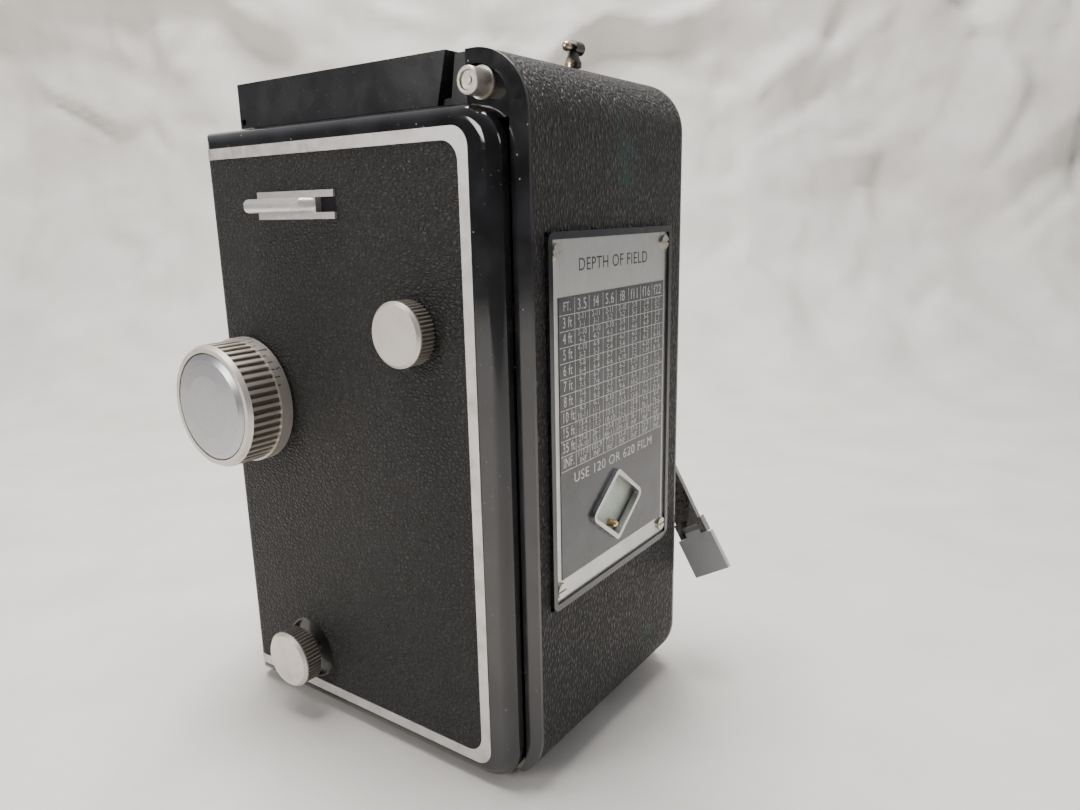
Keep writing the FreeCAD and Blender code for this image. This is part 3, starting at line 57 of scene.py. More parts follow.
def shown(name, mesh, body, material):
    """A new piece from a mesh, riding on a CAD body."""
    piece = bpy.data.objects.new(name, mesh)
    bpy.context.scene.collection.objects.link(piece)
    piece.data.materials.clear()
    piece.data.materials.append(material)
    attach(piece, body)
    return piece


class Paint:
    """A material and a short way to wire its nodes."""

    def __init__(self, name, **sockets):
        self.material = bpy.data.materials.new(name)
        self.material.use_nodes = True
        self.tree = self.material.node_tree
        self.shader = self.tree.nodes["Principled BSDF"]
        for key, value in sockets.items():
            self.set(key, value)

    def set(self, key, value):
        """Sets one of the shader's own sockets; underscores stand for spaces."""
        self.shader.inputs[key.replace("_", " ")].default_value = value

    def add(self, kind, **settings):
        """A node; settings that aren't its own properties are sockets."""
        made = self.tree.nodes.new("ShaderNode" + kind)
        for key, value in settings.items():
            if hasattr(made, key):
                setattr(made, key, value)
            else:
                made.inputs[key.replace("_", " ")].default_value = value
        return made

    def wire(self, source, target):
        self.tree.links.new(source, target)

    def place(self, scale, centre=(0, 0, 0), turn=(0, 0, 0)):
        """Object coordinates in millimetres about a centre, scaled per axis."""
        where = self.add("TexCoord")
        moved = self.add("Mapping", vector_type="POINT")
        factor = [s / MM for s in scale]
        moved.inputs["Scale"].default_value = factor
        moved.inputs["Location"].default_value = [-c * s for c, s in zip(centre, scale)]
        moved.inputs["Rotation"].default_value = turn
        self.wire(where.outputs["Object"], moved.inputs["Vector"])
        return moved.outputs["Vector"]

    def noise(self, vector, scale=1.0, detail=3.0, roughness=0.55, distortion=0.0):
        made = self.add("TexNoise", Scale=scale, Detail=detail, Roughness=roughness,
                        Distortion=distortion)
        self.wire(vector, made.inputs["Vector"])
        return made.outputs["Fac"]

    def ramp(self, source, low, high, start=0.0, end=1.0):
        """source from low to high, stretched onto start to end and clamped."""
        made = self.add("MapRange")
        for key, value in zip(("From Min", "From Max", "To Min", "To Max"), (low, high, start, end)):
            made.inputs[key].default_value = value
        self.wire(source, made.inputs["Value"])
        return made.outputs["Result"]

    def sum_of(self, kind, first, second):
        """One Math node of two values, each a socket or a number."""
        made = self.add("Math", operation=kind)
        for slot, value in zip(made.inputs, (first, second)):
            if isinstance(value, (int, float)):
                slot.default_value = value
            else:
                self.wire(value, slot)
        return made.outputs["Value"]

    def mix(self, amount, first, second):
        """A colour between first and second, each a colour or a socket."""
        made = self.add("Mix", data_type="RGBA")
        self.wire(amount, made.inputs["Factor"])
        for slot, value in zip((made.inputs[6], made.inputs[7]), (first, second)):
            if isinstance(value, (tuple, list)):
                slot.default_value = (*value, 1)
            else:
                self.wire(value, slot)
        return made.outputs[2]

    def bump(self, height, depth, strength=1.0, under=None):
        """Relief of that depth in millimetres, over any relief under it."""
        made = self.add("Bump", Strength=strength, Distance=depth * MM)
        self.wire(height, made.inputs["Height"])
        if under:
            self.wire(under, made.inputs["Normal"])
        return made.outputs["Normal"]

    def colour(self, socket):
        self.wire(socket, self.shader.inputs["Base Color"])

    def rough(self, socket):
        self.wire(socket, self.shader.inputs["Roughness"])

    def normal(self, socket):
        self.wire(socket, self.shader.inputs["Normal"])

    def specks(self, every, size, share):
        """1 on scattered round dust specks of about that size, and 0 elsewhere."""
        vector = self.place((1 / every,) * 3)
        cells = self.add("TexVoronoi", feature="F1", Scale=1.0)
        self.wire(vector, cells.inputs["Vector"])
        near = self.ramp(cells.outputs["Distance"], size / every, size / every * 0.4)
        parts = self.add("SeparateColor")
        self.wire(cells.outputs["Color"], parts.inputs["Color"])
        chosen = self.sum_of("LESS_THAN", parts.outputs["Red"], share)
        return self.sum_of("MULTIPLY", near, chosen)


# --- materials -----------------------------------------------------------------------------------
def enamel(name, dust=0.6, tone=(0.006, 0.006, 0.007), rough=(0.07, 0.2)):
    """Black stoving enamel: deep gloss, faint waves, fine scratches, settled dust."""
    paint = Paint(name, Specular_IOR_Level=0.5, Coat_Weight=0.4, Coat_Roughness=0.05)
    film = paint.noise(paint.place((0.12,) * 3), detail=4)
    fine = paint.specks(1.5, 0.10, dust)
    coarse = paint.specks(4.0, 0.22, dust * 0.6)
    dirt = paint.sum_of("MAXIMUM", fine, coarse)
    base = paint.mix(paint.ramp(film, 0.35, 0.75), tone, tuple(3 * t for t in tone))
    paint.colour(paint.mix(dirt, base, (0.30, 0.27, 0.24)))
    dull = paint.ramp(film, 0.3, 0.8, *rough)
    paint.rough(paint.sum_of("ADD", dull, paint.sum_of("MULTIPLY", dirt, 0.5)))
    wave = paint.bump(paint.noise(paint.place((0.5,) * 3), detail=2), 0.02, 0.5)
    line = paint.noise(paint.place((0.15, 0.15, 6.0)), detail=2)
    scratch = paint.bump(paint.ramp(line, 0.62, 0.7), 0.003, 0.35, wave)
    paint.normal(paint.bump(dirt, 0.05, 0.6, scratch))
    return paint.material


def leather(name, cell, depth, tone, crest_wear_and_highlight, stained=False):
    """Leatherette: closed pebbles of the given size per axis, lighter on their crests from wear and from a
    painted highlight.
    """
    paint = Paint(name, Specular_IOR_Level=0.45)
    scale = tuple(1 / c for c in cell)
    vector = paint.place(scale)
    bend = paint.add("TexNoise", Scale=0.9, Detail=2.0)
    paint.wire(vector, bend.inputs["Vector"])
    pushed = paint.add("VectorMath", operation="MULTIPLY_ADD")
    paint.wire(bend.outputs["Color"], pushed.inputs[0])
    pushed.inputs[1].default_value = (0.9, 0.9, 0.9)
    paint.wire(vector, pushed.inputs[2])
    cells = paint.add("TexVoronoi", feature="F1", Scale=1.0)
    paint.wire(pushed.outputs[0], cells.inputs["Vector"])
    edges = paint.add("TexVoronoi", feature="DISTANCE_TO_EDGE", Scale=1.0)
    paint.wire(pushed.outputs[0], edges.inputs["Vector"])
    dome = paint.ramp(edges.outputs["Distance"], 0.0, 0.32)
    round_top = paint.ramp(cells.outputs["Distance"], 0.75, 0.1)
    height = paint.sum_of("ADD", paint.sum_of("MULTIPLY", dome, 0.65),
                          paint.sum_of("MULTIPLY", round_top, 0.35))
    pores = paint.noise(paint.place(tuple(4.5 * s for s in scale)), detail=4)
    cloud = paint.noise(paint.place((0.07, 0.07, 0.05)), detail=5)
    # the pebble crests are coloured lighter: partly wear, partly a painted highlight of light on the pebble
    # tops
    wear_and_highlight = paint.sum_of("MULTIPLY", paint.ramp(height, 0.55, 1.0), paint.ramp(cloud, 0.3, 0.75, 0.35, 1.0))
    base = paint.mix(wear_and_highlight, tone, crest_wear_and_highlight)
    dust = paint.specks(2.4, 0.16, 0.18)
    base = paint.mix(dust, base, (0.22, 0.20, 0.17))
    if stained:
        for centre, size in (((-4, 48, 139), (6.0, 11.0)), ((-17, 48, 17), (2.6, 5.0))):
            spot = paint.place((1 / size[0], 1 / 40.0, 1 / size[1]), centre)
            reach = paint.add("VectorMath", operation="LENGTH")
            paint.wire(spot, reach.inputs[0])
            ragged = paint.noise(paint.place((0.55,) * 3), detail=5)
            body = paint.sum_of("ADD", reach.outputs["Value"], paint.ramp(ragged, 0.25, 0.75, -1.0, 1.1))
            mark = paint.sum_of("MULTIPLY", paint.ramp(body, 0.85, 0.25), 0.55)
            base = paint.mix(mark, base, (0.010, 0.060, 0.055))
    paint.colour(base)
    paint.rough(paint.ramp(height, 0.1, 0.95, 0.62, 0.40))
    low = paint.bump(height, depth, 1.0)
    paint.normal(paint.bump(pores, depth * 0.22, 0.8, low))
    return paint.material


def satin(name, tone, rough, brush, grain=0.004, grime=0.25, metallic=1.0, centre=(0, 0, 0),
          grime_tone=(0.22, 0.18, 0.12)):
    """Bare metal with fine brush lines, uneven sheen and grime in patches."""
    paint = Paint(name, Metallic=metallic)
    lines = paint.noise(paint.place(brush, centre), detail=3)
    cloud = paint.noise(paint.place((0.18,) * 3), detail=5)
    spots = paint.specks(3.0, 0.22, 0.15)
    dirty = paint.sum_of("MULTIPLY", paint.ramp(cloud, 0.48, 0.72), grime)
    base = paint.mix(paint.ramp(lines, 0.3, 0.7), tuple(0.9 * t for t in tone), tone)
    base = paint.mix(dirty, base, grime_tone)
    paint.colour(paint.mix(paint.sum_of("MULTIPLY", spots, 0.5), base, grime_tone))
    paint.rough(paint.sum_of("ADD", paint.ramp(lines, 0.3, 0.7, rough * 0.8, rough * 1.15),
                             paint.sum_of("MULTIPLY", dirty, 0.4)))
    paint.normal(paint.bump(lines, grain, 0.7))
    return paint.material


def turned_metal(name, tone, rough, centre, ring=5.0, depth=0.006, grime=0.2, metallic=0.8, outer=None):
    """Lathe-turned metal: fine rings about an X axis through centre.

    outer is the radius and front face of a fluted rim, whose hollows behind the face are coloured dark brown.
    """
    paint = Paint(name, Metallic=metallic)
    vector = paint.place((0, 1, 1), centre)
    reach = paint.add("VectorMath", operation="LENGTH")
    paint.wire(vector, reach.inputs[0])
    rings = paint.add("TexNoise", noise_dimensions="1D", Scale=ring, Detail=4.0, Roughness=0.7)
    paint.wire(reach.outputs["Value"], rings.inputs["W"])
    cloud = paint.noise(paint.place((0.22,) * 3), detail=5)
    dirty = paint.sum_of("MULTIPLY", paint.ramp(cloud, 0.5, 0.75), grime)
    base = paint.mix(paint.ramp(rings.outputs["Fac"], 0.3, 0.7), tuple(0.86 * t for t in tone), tone)
    base = paint.mix(dirty, base, (0.26, 0.21, 0.14))
    spots = paint.specks(2.2, 0.14, 0.2)
    base = paint.mix(paint.sum_of("MULTIPLY", spots, 0.45), base, (0.2, 0.15, 0.1))
    if outer:
        radius, face = outer
        parts = paint.add("SeparateXYZ")
        paint.wire(paint.place((1, 1, 1)), parts.inputs[0])
        hollow = paint.ramp(reach.outputs["Value"], radius - 0.1, radius - 0.42)
        behind = paint.ramp(parts.outputs["X"], face - 0.9, face - 1.1)
        base = paint.mix(paint.sum_of("MULTIPLY", paint.sum_of("MULTIPLY", hollow, behind), 0.8), base,
                         (0.12, 0.095, 0.065))
    paint.colour(base)
    paint.rough(paint.sum_of("ADD", paint.ramp(rings.outputs["Fac"], 0.3, 0.7, rough * 0.85, rough * 1.2),
                             paint.sum_of("MULTIPLY", dirty, 0.5)))
    speckle = paint.noise(paint.place((5.0,) * 3), detail=2)
    low = paint.bump(rings.outputs["Fac"], depth, 0.6)
    paint.normal(paint.bump(speckle, depth, 0.25, low))
    return paint.material


def glass(name, tone, rough=0.02, weight=1.0):
    """Coated optical glass with a faint film of dust."""
    paint = Paint(name, Transmission_Weight=weight, IOR=1.52)
    haze = paint.noise(paint.place((0.3,) * 3), detail=4)
    paint.colour(paint.mix(paint.ramp(haze, 0.4, 0.8), tone, tuple(0.85 * t for t in tone)))
    paint.rough(paint.ramp(haze, 0.4, 0.8, rough, rough + 0.06))
    paint.normal(paint.bump(haze, 0.002, 0.2))
    return paint.material


BLACK = enamel("enamel_body")
HOOD = enamel("enamel_hood", dust=0.4, tone=(0.009, 0.009, 0.010), rough=(0.24, 0.31))
INNER = enamel("enamel_inner", dust=0.1, tone=(0.008, 0.008, 0.008), rough=(0.5, 0.7))
CUP = enamel("enamel_cup", dust=0.5, tone=(0.006, 0.006, 0.006), rough=(0.3, 0.5))
# each leather's last colour is its crest colour: wear plus a painted highlight
SIDE = leather("leather_side", (1.3, 1.25, 0.8), 0.42, (0.0045, 0.0038, 0.0038), (0.020, 0.0175, 0.017))
REAR = leather("leather_rear", (0.78, 1.3, 1.75), 0.62, (0.0050, 0.0046, 0.0048), (0.075, 0.068, 0.070),
               stained=True)
LINE = satin("aluminium_line", (0.68, 0.66, 0.645), 0.5, (0.5, 0.5, 0.5), grime=0.3)
PLATE = satin("table_aluminium", (0.60, 0.61, 0.60), 0.34, (6.0, 1.0, 0.25), grime=0.12)
PRINT = enamel("table_print", dust=0.3, tone=(0.020, 0.022, 0.027), rough=(0.26, 0.38))
NICKEL = satin("nickel", (0.66, 0.64, 0.61), 0.18, (0.8, 0.8, 0.8), grain=0.006, grime=0.45)
STEEL = satin("steel", (0.48, 0.47, 0.46), 0.3, (2.0, 2.0, 0.3), grime=0.4, grime_tone=(0.2, 0.12, 0.06))
SCREW = satin("screw_steel", (0.62, 0.59, 0.53), 0.3, (2.0, 2.0, 2.0), grime=0.5)
BRASS = satin("brass", (0.68, 0.52, 0.27), 0.28, (1.5, 1.5, 1.5), grime=0.5)
GLASS = glass("lens_glass", (0.80, 0.86, 0.95))
SCREEN = glass("ground_screen", (0.9, 0.92, 0.92), 0.5)
RED = glass("red_glass", (0.5, 0.02, 0.02), 0.05)
MIRROR = satin("mirror", (0.88, 0.89, 0.89), 0.03, (0.4, 0.4, 0.4), grain=0.0005, grime=0.08)
WINDOW = satin("window_plate", (0.60, 0.66, 0.60), 0.42, (0.5, 0.5, 0.5), grime=0.3, metallic=0.0)
WARM = (0.72, 0.675, 0.62)
SLOTS = {
    "black_enamel": BLACK, "leather": REAR, "aluminium_line": LINE, "table_aluminium": PLATE,
    "table_print": PRINT, "nickel": NICKEL, "steel": STEEL, "brass": BRASS, "window_plate": WINDOW,
    "red_glass": RED, "lens_glass": GLASS, "ground_screen": SCREEN, "mirror": MIRROR,
    "satin_aluminium": satin("satin_aluminium", WARM, 0.3, (0.6, 3.0, 3.0)),
}


def centre_of(node):
    """The middle of a CAD node's box, in millimetres."""
    low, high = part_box(node)
    return tuple((a + b) / 2 / MM for a, b in zip(low, high))


SPECIAL = {
    "case_leather": SIDE, "dark_box": INNER, "mirror_bracket": INNER, "lower_knob_cup": CUP,
    "hood_lid": HOOD, "hood_base": HOOD, "hood_rear_strip": HOOD, "hood_flap_left": HOOD,
    "hood_flap_right": HOOD, "hood_flap_rear": HOOD, "magnifier_frame": HOOD, "table_screws": SCREW,
    "pressure_plate": INNER,
}
KNOBS = {"upper_knob": (7.1, 42.1), "lower_knob": (7.5, 44.7), "focus_knob_grip": (15.4, 49.3)}
for knob, outer in KNOBS.items():
    SPECIAL[knob] = turned_metal("turned_" + knob, WARM, 0.42, centre_of(knob), metallic=0.72,
                                 outer=outer)
SPECIAL["focus_knob_disc"] = turned_metal("turned_disc", (0.47, 0.475, 0.50), 0.30,
                                          centre_of("focus_knob_disc"), depth=0.004, grime=0.1,
                                          metallic=0.85)
SPECIAL["crank_handle"] = satin("handle_metal", (0.70, 0.69, 0.73), 0.5, (2.0, 2.0, 2.0),
                                metallic=0.6, grime=0.15)
SPECIAL["strap_lugs"] = satin("lug_metal", (0.76, 0.73, 0.72), 0.36, (0.5, 0.6, 4.0),
                              metallic=0.75, grime=0.3)


def two_tone(name, first, second, edge, blur=0.1):
    """Tarnished metal that is first below that X, in millimetres, and second above it."""
    paint = Paint(name, Metallic=1.0)
    parts = paint.add("SeparateXYZ")
    paint.wire(paint.place((1, 1, 1)), parts.inputs[0])
    side = paint.ramp(parts.outputs["X"], edge - blur, edge + blur)
    cloud = paint.noise(paint.place((1.1,) * 3), detail=5)
    base = paint.mix(side, first, second)
    stain = paint.sum_of("MULTIPLY", paint.ramp(cloud, 0.42, 0.7), 0.6)
    paint.colour(paint.mix(stain, base, (0.10, 0.085, 0.07)))
    paint.rough(paint.ramp(cloud, 0.3, 0.7, 0.2, 0.42))
    paint.normal(paint.bump(cloud, 0.03, 0.5))
    return paint.material


SPECIAL["roof_catch"] = two_tone("catch_metal", (0.11, 0.11, 0.105), (0.72, 0.58, 0.42), 1.5)
SPECIAL["flash_post"] = turned_metal("turned_post", (0.55, 0.52, 0.47), 0.3, centre_of("flash_post"),
                                     ring=3.0, depth=0.03, grime=0.6)
finish_of = {row["node"]: row["material_slot"] for row in frame["record"]["subparts"]}
for name, piece in nodes.items():
    piece.data.materials.clear()
    piece.data.materials.append(SPECIAL.get(name, SLOTS[finish_of[name]]))


# --- printed table -------------------------------------------------------------------------------
PRINTED = Paint("table_ink_light", Metallic=0.6, Roughness=0.4)
ink_wear = PRINTED.noise(PRINTED.place((1.2,) * 3), detail=4)
PRINTED.colour(PRINTED.mix(PRINTED.ramp(ink_wear, 0.45, 0.7), (0.62, 0.62, 0.60), (0.30, 0.30, 0.30)))
PRINTED.normal(PRINTED.bump(ink_wear, 0.01, 0.4))
DARK_INK = Paint("table_ink_dark", Roughness=0.35)
dark_wear = DARK_INK.noise(DARK_INK.place((1.5,) * 3), detail=4)
DARK_INK.colour(DARK_INK.mix(DARK_INK.ramp(dark_wear, 0.5, 0.8), (0.02, 0.02, 0.024), (0.08, 0.08, 0.08)))
DARK_INK.normal(DARK_INK.bump(dark_wear, 0.01, 0.4))
BACK_TURN = Matrix.Rotation(math.pi, 4, "Z") @ Matrix.Rotation(math.pi / 2, 4, "X")
INK = 0.02
BAR_SIDES = ((0, 1, 5, 4), (1, 2, 6, 5), (2, 3, 7, 6), (3, 0, 4, 7))


def lettering(rows, face, ink_high=INK):
    """One mesh of words on the back: each row is (words, x, z, height, width factor, centred)."""
    joined = bmesh.new()
    for words, x, z, tall, wide, centred in rows:
        curve = bpy.data.curves.new("words", "FONT")
        curve.body = words
        curve.size = tall / 0.70 * MM
        curve.align_x = "CENTER" if centred else "LEFT"
        curve.align_y = "CENTER"
        curve.resolution_u = 3
        curve.extrude = ink_high / 2 * MM
        curve.space_character = 1.08
        writer = bpy.data.objects.new("writer", curve)
        bpy.context.scene.collection.objects.link(writer)
        bpy.context.view_layer.update()
        flat = bpy.data.meshes.new_from_object(writer)
        flat.transform(Matrix.Translation(mm(x, face, z)) @ BACK_TURN @ Matrix.Diagonal((wide, 1, 1, 1)))
        joined.from_mesh(flat)
        bpy.data.objects.remove(writer)
        bpy.data.curves.remove(curve)
        bpy.data.meshes.remove(flat)
    mesh = bpy.data.meshes.new("lettering")
    joined.to_mesh(mesh)
    joined.free()
    return mesh


def bars(rows, face, high=INK):
    """One mesh of thin raised lines on the back: each row is (x0, x1, z0, z1)."""
    joined = bmesh.new()
    for x0, x1, z0, z1 in rows:
        corners = [joined.verts.new(mm(x, y, z)) for y in (face, face + high) for x, z in
                   ((x0, z0), (x1, z0), (x1, z1), (x0, z1))]
        for a, b, c, d in ((4, 5, 6, 7), (0, 3, 2, 1), *BAR_SIDES):
            joined.faces.new([corners[i] for i in (a, b, c, d)])
    bmesh.ops.recalc_face_normals(joined, faces=joined.faces)
    mesh = bpy.data.meshes.new("bars")
    joined.to_mesh(mesh)
    joined.free()
    return mesh


print_low, print_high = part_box("table_print")
PRINT_FACE = print_high.y / MM
LEFT, RIGHT = print_high.x / MM - 0.3, print_low.x / MM + 0.3
TOP = print_high.z / MM - 0.4
STOPS = ("3.5", "4", "5.6", "8", "11", "16", "22")
DISTANCES = (3, 4, 5, 6, 7, 8, 10, 15, 35)
COLUMNS = len(STOPS) + 1
COLUMN = (LEFT - RIGHT) / COLUMNS
ROW = 3.35
ROWS = len(DISTANCES) + 2
FOOT = 304.8
FOCAL = 83.0
BLUR = 0.055


def feet(distance):
    """A distance in millimetres as feet and inches, or INF."""
    if distance <= 0 or distance > 400 * FOOT:
        return "INF"
    inches = round(distance / FOOT * 12)
    return f"{inches // 12}-{inches % 12}"


def limits(stop, distance):
    """The near and far limits of sharp focus, in millimetres, at a stop and a distance."""
    hyperfocal = FOCAL * FOCAL / (float(stop) * BLUR)
    if distance is None:
        return hyperfocal, -1
    far = hyperfocal * distance / (hyperfocal - distance) if hyperfocal > distance else -1
    return hyperfocal * distance / (hyperfocal + distance), far


headings = [("FT.", LEFT - COLUMN / 2, TOP - ROW / 2, 1.9, 0.8, True)]
headings += [("f" + stop if len(stop) < 3 else stop, LEFT - COLUMN * (i + 1.5), TOP - ROW / 2, 2.4, 0.85,
              True) for i, stop in enumerate(STOPS)]
for i, distance in enumerate((*DISTANCES, None)):
    middle = TOP - ROW * (i + 1.5)
    label = f"{distance} ft" if distance else "INF."
    headings.append((label, LEFT - COLUMN / 2, middle, 2.25, 0.74, True))
    for j, stop in enumerate(STOPS):
        near, far = limits(stop, distance * FOOT if distance else None)
        for words, lift in ((feet(near), 0.8), (feet(far), -0.8)):
            headings.append((words, LEFT - COLUMN * (j + 1.5), middle + lift, 1.3, 0.98, True))
headings.append(("USE 120 OR 620 FILM", (LEFT + RIGHT) / 2, TOP - ROW * ROWS - 2.6, 2.3, 1.12, True))
figures = lettering(headings, PRINT_FACE + INK / 2)
shown("table_figures", figures, "back", PRINTED.material)
RULE = 0.16
rules = [(LEFT - COLUMN * i - RULE / 2, LEFT - COLUMN * i + RULE / 2, TOP - ROW * ROWS, TOP)
         for i in range(1, COLUMNS)]
rules += [(RIGHT, LEFT, TOP - ROW * i - RULE / 2, TOP - ROW * i + RULE / 2) for i in range(1, ROWS + 1)]
shown("table_rules", bars(rules, PRINT_FACE), "back", PRINTED.material)
PLATE_FACE = 48.3
title = [("DEPTH OF FIELD", 1.0, 117.4, 2.7, 1.0, True)]
shown("table_title", lettering(title, PLATE_FACE + INK / 2), "back", DARK_INK.material)


# --- distance marks on the focusing knob's skirt ---------------------------------------------------
def skirt_marks():
    """Fine dark lines and figures round the skirt, standing just proud of it."""
    low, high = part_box("focus_knob_grip")
    middle = Vector(((low.x + high.x) / 2, (low.y + high.y) / 2, (low.z + high.z) / 2))
    radius, start, end = 15.9 * MM, 37.5 * MM, 40.3 * MM
    joined = bmesh.new()
    pitch, half_width, long_mark, short_mark = 7.5, 0.13, 1.5, 0.9
    marks = [(i * pitch, end - (long_mark if i % 2 else short_mark) * MM) for i in range(30)]
    for angle, far in marks:
        swing = math.radians(angle + 20)
        out = Vector((0, math.cos(swing), math.sin(swing)))
        along = Vector((0, -out.z, out.y)) * half_width * MM
        corners = []
        for reach in (radius - 0.02 * MM, radius + 0.03 * MM):
            for x, sign in ((far, -1), (end, -1), (end, 1), (far, 1)):
                corners.append(joined.verts.new(Vector((x, middle.y, middle.z)) + out * reach + along * sign))
        for a, b, c, d in ((4, 5, 6, 7), *BAR_SIDES):
            joined.faces.new([corners[i] for i in (a, b, c, d)])
    for i, words in enumerate(("3", "4", "5", "6", "8", "10", "15", "30", "INF")):
        curve = bpy.data.curves.new("words", "FONT")
        curve.body = words
        curve.size = 1.9 * MM
        curve.align_x = curve.align_y = "CENTER"
        curve.resolution_u = 2
        curve.extrude = 0.015 * MM
        writer = bpy.data.objects.new("writer", curve)
        bpy.context.scene.collection.objects.link(writer)
        bpy.context.view_layer.update()
        flat = bpy.data.meshes.new_from_object(writer)
        swing = math.radians(i * 22.5 + 35)
        out = Vector((0, math.cos(swing), math.sin(swing)))
        across = Vector((0, -out.z, out.y))
        turn = Matrix((across, Vector((1, 0, 0)), out)).transposed()
        if turn.determinant() < 0:
            turn = Matrix((-across, Vector((1, 0, 0)), out)).transposed()
        spot = Vector((start + 0.75 * MM, middle.y, middle.z)) + out * (radius + 0.01 * MM)
        flat.transform(Matrix.Translation(spot) @ turn.to_4x4())
        joined.from_mesh(flat)
        bpy.data.objects.remove(writer)
        bpy.data.meshes.remove(flat)
    mesh = bpy.data.meshes.new("skirt_marks")
    joined.to_mesh(mesh)
    joined.free()
    shown("focus_knob_marks", mesh, "focus_knob", DARK_INK.material)


skirt_marks()


# --- stage, lights and camera --------------------------------------------------------------------
def creased(across, along, lift):
    """How far the crumpled paper stands out at a place on it, in metres: sharp folds, flat facets."""
    place = Vector((across, along, 0.3))
    place += 0.02 * noise.noise_vector(place * 9.0)
    push = 0.0
    for often, deep in ((5.0, 0.075), (12.0, 0.034), (27.0, 0.013)):
        spot = place * often
        (near, next_near), seeds = noise.voronoi(spot)[0][:2], noise.voronoi(spot)[1]
        tilt = noise.noise_vector(seeds[0] * 7.3)
        push += deep * tilt.dot(spot - seeds[0]) * min((next_near - near) / 0.22, 1.0)
    return push * (0.10 + 0.90 * lift)


def sweep():
    """A pale crumpled sheet: it lies under the camera and rises behind it in one curve."""
    built = bmesh.new()
    wide, deep, step = 2.2, 1.7, 0.006
    across, along = int(wide / step), int(deep / step)
    bend_at, radius = 0.34, 0.22
    heading = math.radians(125.49)
    view = Vector((math.sin(heading), -math.cos(heading), 0))
    side = Vector((-view.y, view.x, 0))
    grid = []
    for j in range(along + 1):
        run = j * step - 0.55
        angle = min(max((run - bend_at) / radius, 0.0), math.pi / 2)
        out = min(run, bend_at) + radius * math.sin(angle)
        high = radius * (1 - math.cos(angle)) + max(run - bend_at - radius * math.pi / 2, 0.0)
        lift = angle / (math.pi / 2)
        row = []
        for i in range(across + 1):
            slide = (i / across - 0.5) * wide
            calm = min(1.0, max(0.0, (math.hypot(slide, run) - 0.11) / 0.2))
            point = -view * out + side * slide + Vector((0, 0, high))
            normal = (view * math.sin(angle) + Vector((0, 0, math.cos(angle)))).normalized()
            sink = creased(slide, run, lift) - 0.012
            row.append(built.verts.new(point + normal * min(sink, 0.0 if lift == 0 else 1.0) * calm))
        grid.append(row)
    for below, above in zip(grid, grid[1:]):
        for i in range(across):
            built.faces.new((below[i], below[i + 1], above[i + 1], above[i]))
    mesh = bpy.data.meshes.new("sweep")
    built.to_mesh(mesh)
    built.free()
    mesh.polygons.foreach_set("use_smooth", [True] * len(mesh.polygons))
    cloth = Paint("paper", Roughness=0.62, Specular_IOR_Level=0.35)
    fuzz = cloth.noise(cloth.place((0.02,) * 3), detail=6)
    cloth.colour(cloth.mix(cloth.ramp(fuzz, 0.3, 0.7), (0.66, 0.635, 0.605), (0.76, 0.735, 0.705)))
    fine = cloth.noise(cloth.place((0.09,) * 3), detail=5)
    cloth.normal(cloth.bump(fine, 1.2, 0.35))
    mesh.materials.append(cloth.material)
    sheet = bpy.data.objects.new("sweep", mesh)
    bpy.context.scene.collection.objects.link(sheet)
    ground = bpy.data.meshes.new("ground")
    spread, drop = 4.0, -0.06
    corners = [(x * spread, y * spread, drop) for x, y in ((-1, -1), (1, -1), (1, 1), (-1, 1))]
    ground.from_pydata(corners, [], [(0, 1, 2, 3)])
    table = Paint("table_top", Roughness=0.7)
    grain = table.noise(table.place((0.01,) * 3), detail=4)
    table.colour(table.mix(table.ramp(grain, 0.3, 0.7), (0.33, 0.32, 0.31), (0.38, 0.37, 0.36)))
    ground.materials.append(table.material)
    base = bpy.data.objects.new("ground", ground)
    bpy.context.scene.collection.objects.link(base)


sweep()


def lamp(name, place, aim, size, power, tone=(1, 1, 1)):
    """A soft rectangular light, aimed at a point; the camera doesn't see it."""
    data = bpy.data.lights.new(name, "AREA")
    data.shape = "RECTANGLE"
    data.size, data.size_y = size
    data.energy = power
    data.color = tone
    made = bpy.data.objects.new(name, data)
    made.location = place
    made.rotation_mode = "QUATERNION"
    made.rotation_quaternion = (Vector(aim) - Vector(place)).to_track_quat("-Z", "Y")
    made.visible_camera = False
    bpy.context.scene.collection.objects.link(made)


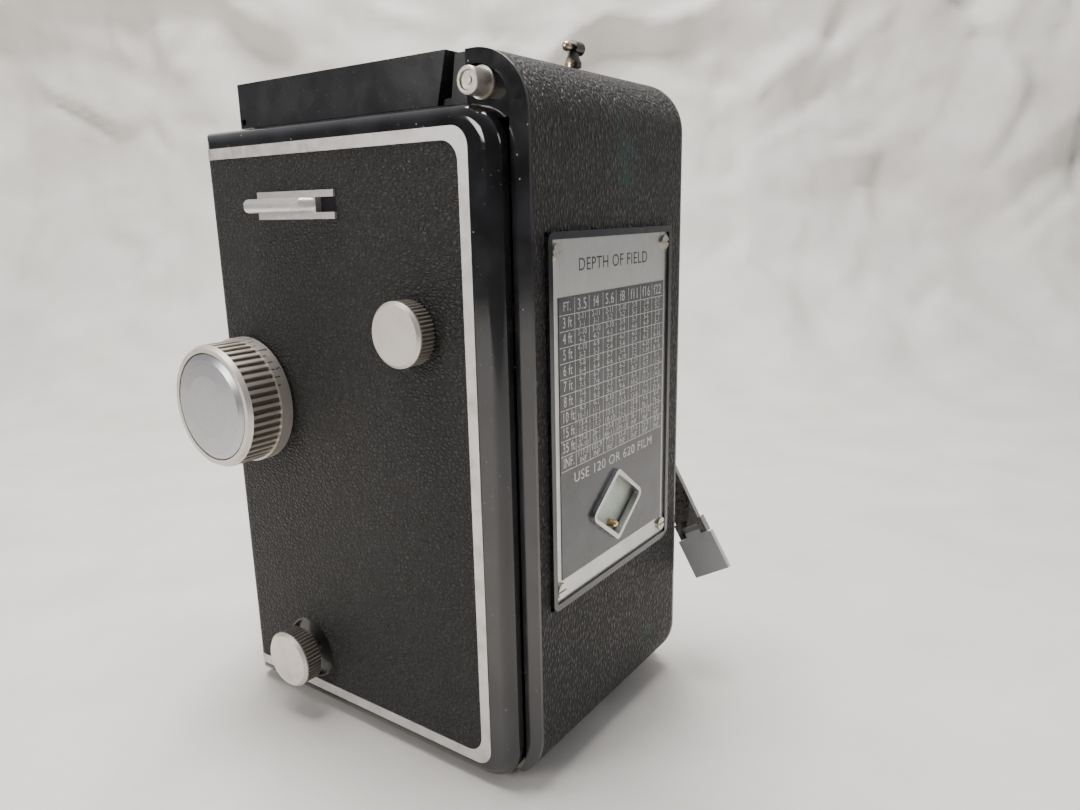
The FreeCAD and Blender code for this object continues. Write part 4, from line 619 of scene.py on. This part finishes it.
ROOM_DARK, ROOM_PALE = 0.10, 0.62
lamp("key", (-0.05, -0.10, 0.95), (0, 0, 0.05), (0.5, 0.45), 17.0, (1.0, 0.975, 0.94))
lamp("side", (0.95, -0.35, 0.45), (0, 0, 0.08), (0.4, 0.3), 6.0, (1.0, 0.97, 0.94))
lamp("rear", (-0.30, 0.95, 0.60), (0, 0, 0.08), (0.35, 0.35), 1.6)
world = bpy.data.worlds.new("studio")
world.use_nodes = True
sky = world.node_tree
where = sky.nodes.new("ShaderNodeTexCoord")
turned_to = sky.nodes.new("ShaderNodeVectorMath")
turned_to.operation = "DOT_PRODUCT"
turned_to.inputs[1].default_value = (-0.70, -0.45, 0.55)
room = sky.nodes.new("ShaderNodeMapRange")
room.interpolation_type = "SMOOTHSTEP"
for key, value in (("From Min", -0.35), ("From Max", 0.8), ("To Min", ROOM_DARK), ("To Max", ROOM_PALE)):
    room.inputs[key].default_value = value
sky.links.new(where.outputs["Generated"], turned_to.inputs[0])
sky.links.new(turned_to.outputs["Value"], room.inputs["Value"])
sky.links.new(room.outputs["Result"], sky.nodes["Background"].inputs["Strength"])
sky.nodes["Background"].inputs["Color"].default_value = (0.95, 0.96, 1.0, 1)
bpy.context.scene.world = world

azimuth, elevation, roll = (math.radians(a) for a in (125.49, 13.42, -1.18))
back = Vector((math.sin(azimuth) * math.cos(elevation), -math.cos(azimuth) * math.cos(elevation),
               math.sin(elevation)))
right = (-back).cross(Vector((0, 0, 1))).normalized()
up = right.cross(-back)
level = right * math.cos(roll) + up * math.sin(roll)
upright = up * math.cos(roll) - right * math.sin(roll)
lens = bpy.data.cameras.new("camera")
lens.sensor_width = 36.0
lens.lens = 27.083
lens.clip_start = 0.005
eye = bpy.data.objects.new("camera", lens)
turn = Matrix((level, upright, back)).transposed().to_4x4()
eye.matrix_world = Matrix.Translation(mm(160.83, 140.84, 128.53)) @ turn
bpy.context.scene.collection.objects.link(eye)
bpy.context.scene.camera = eye

bpy.context.view_layer.update()
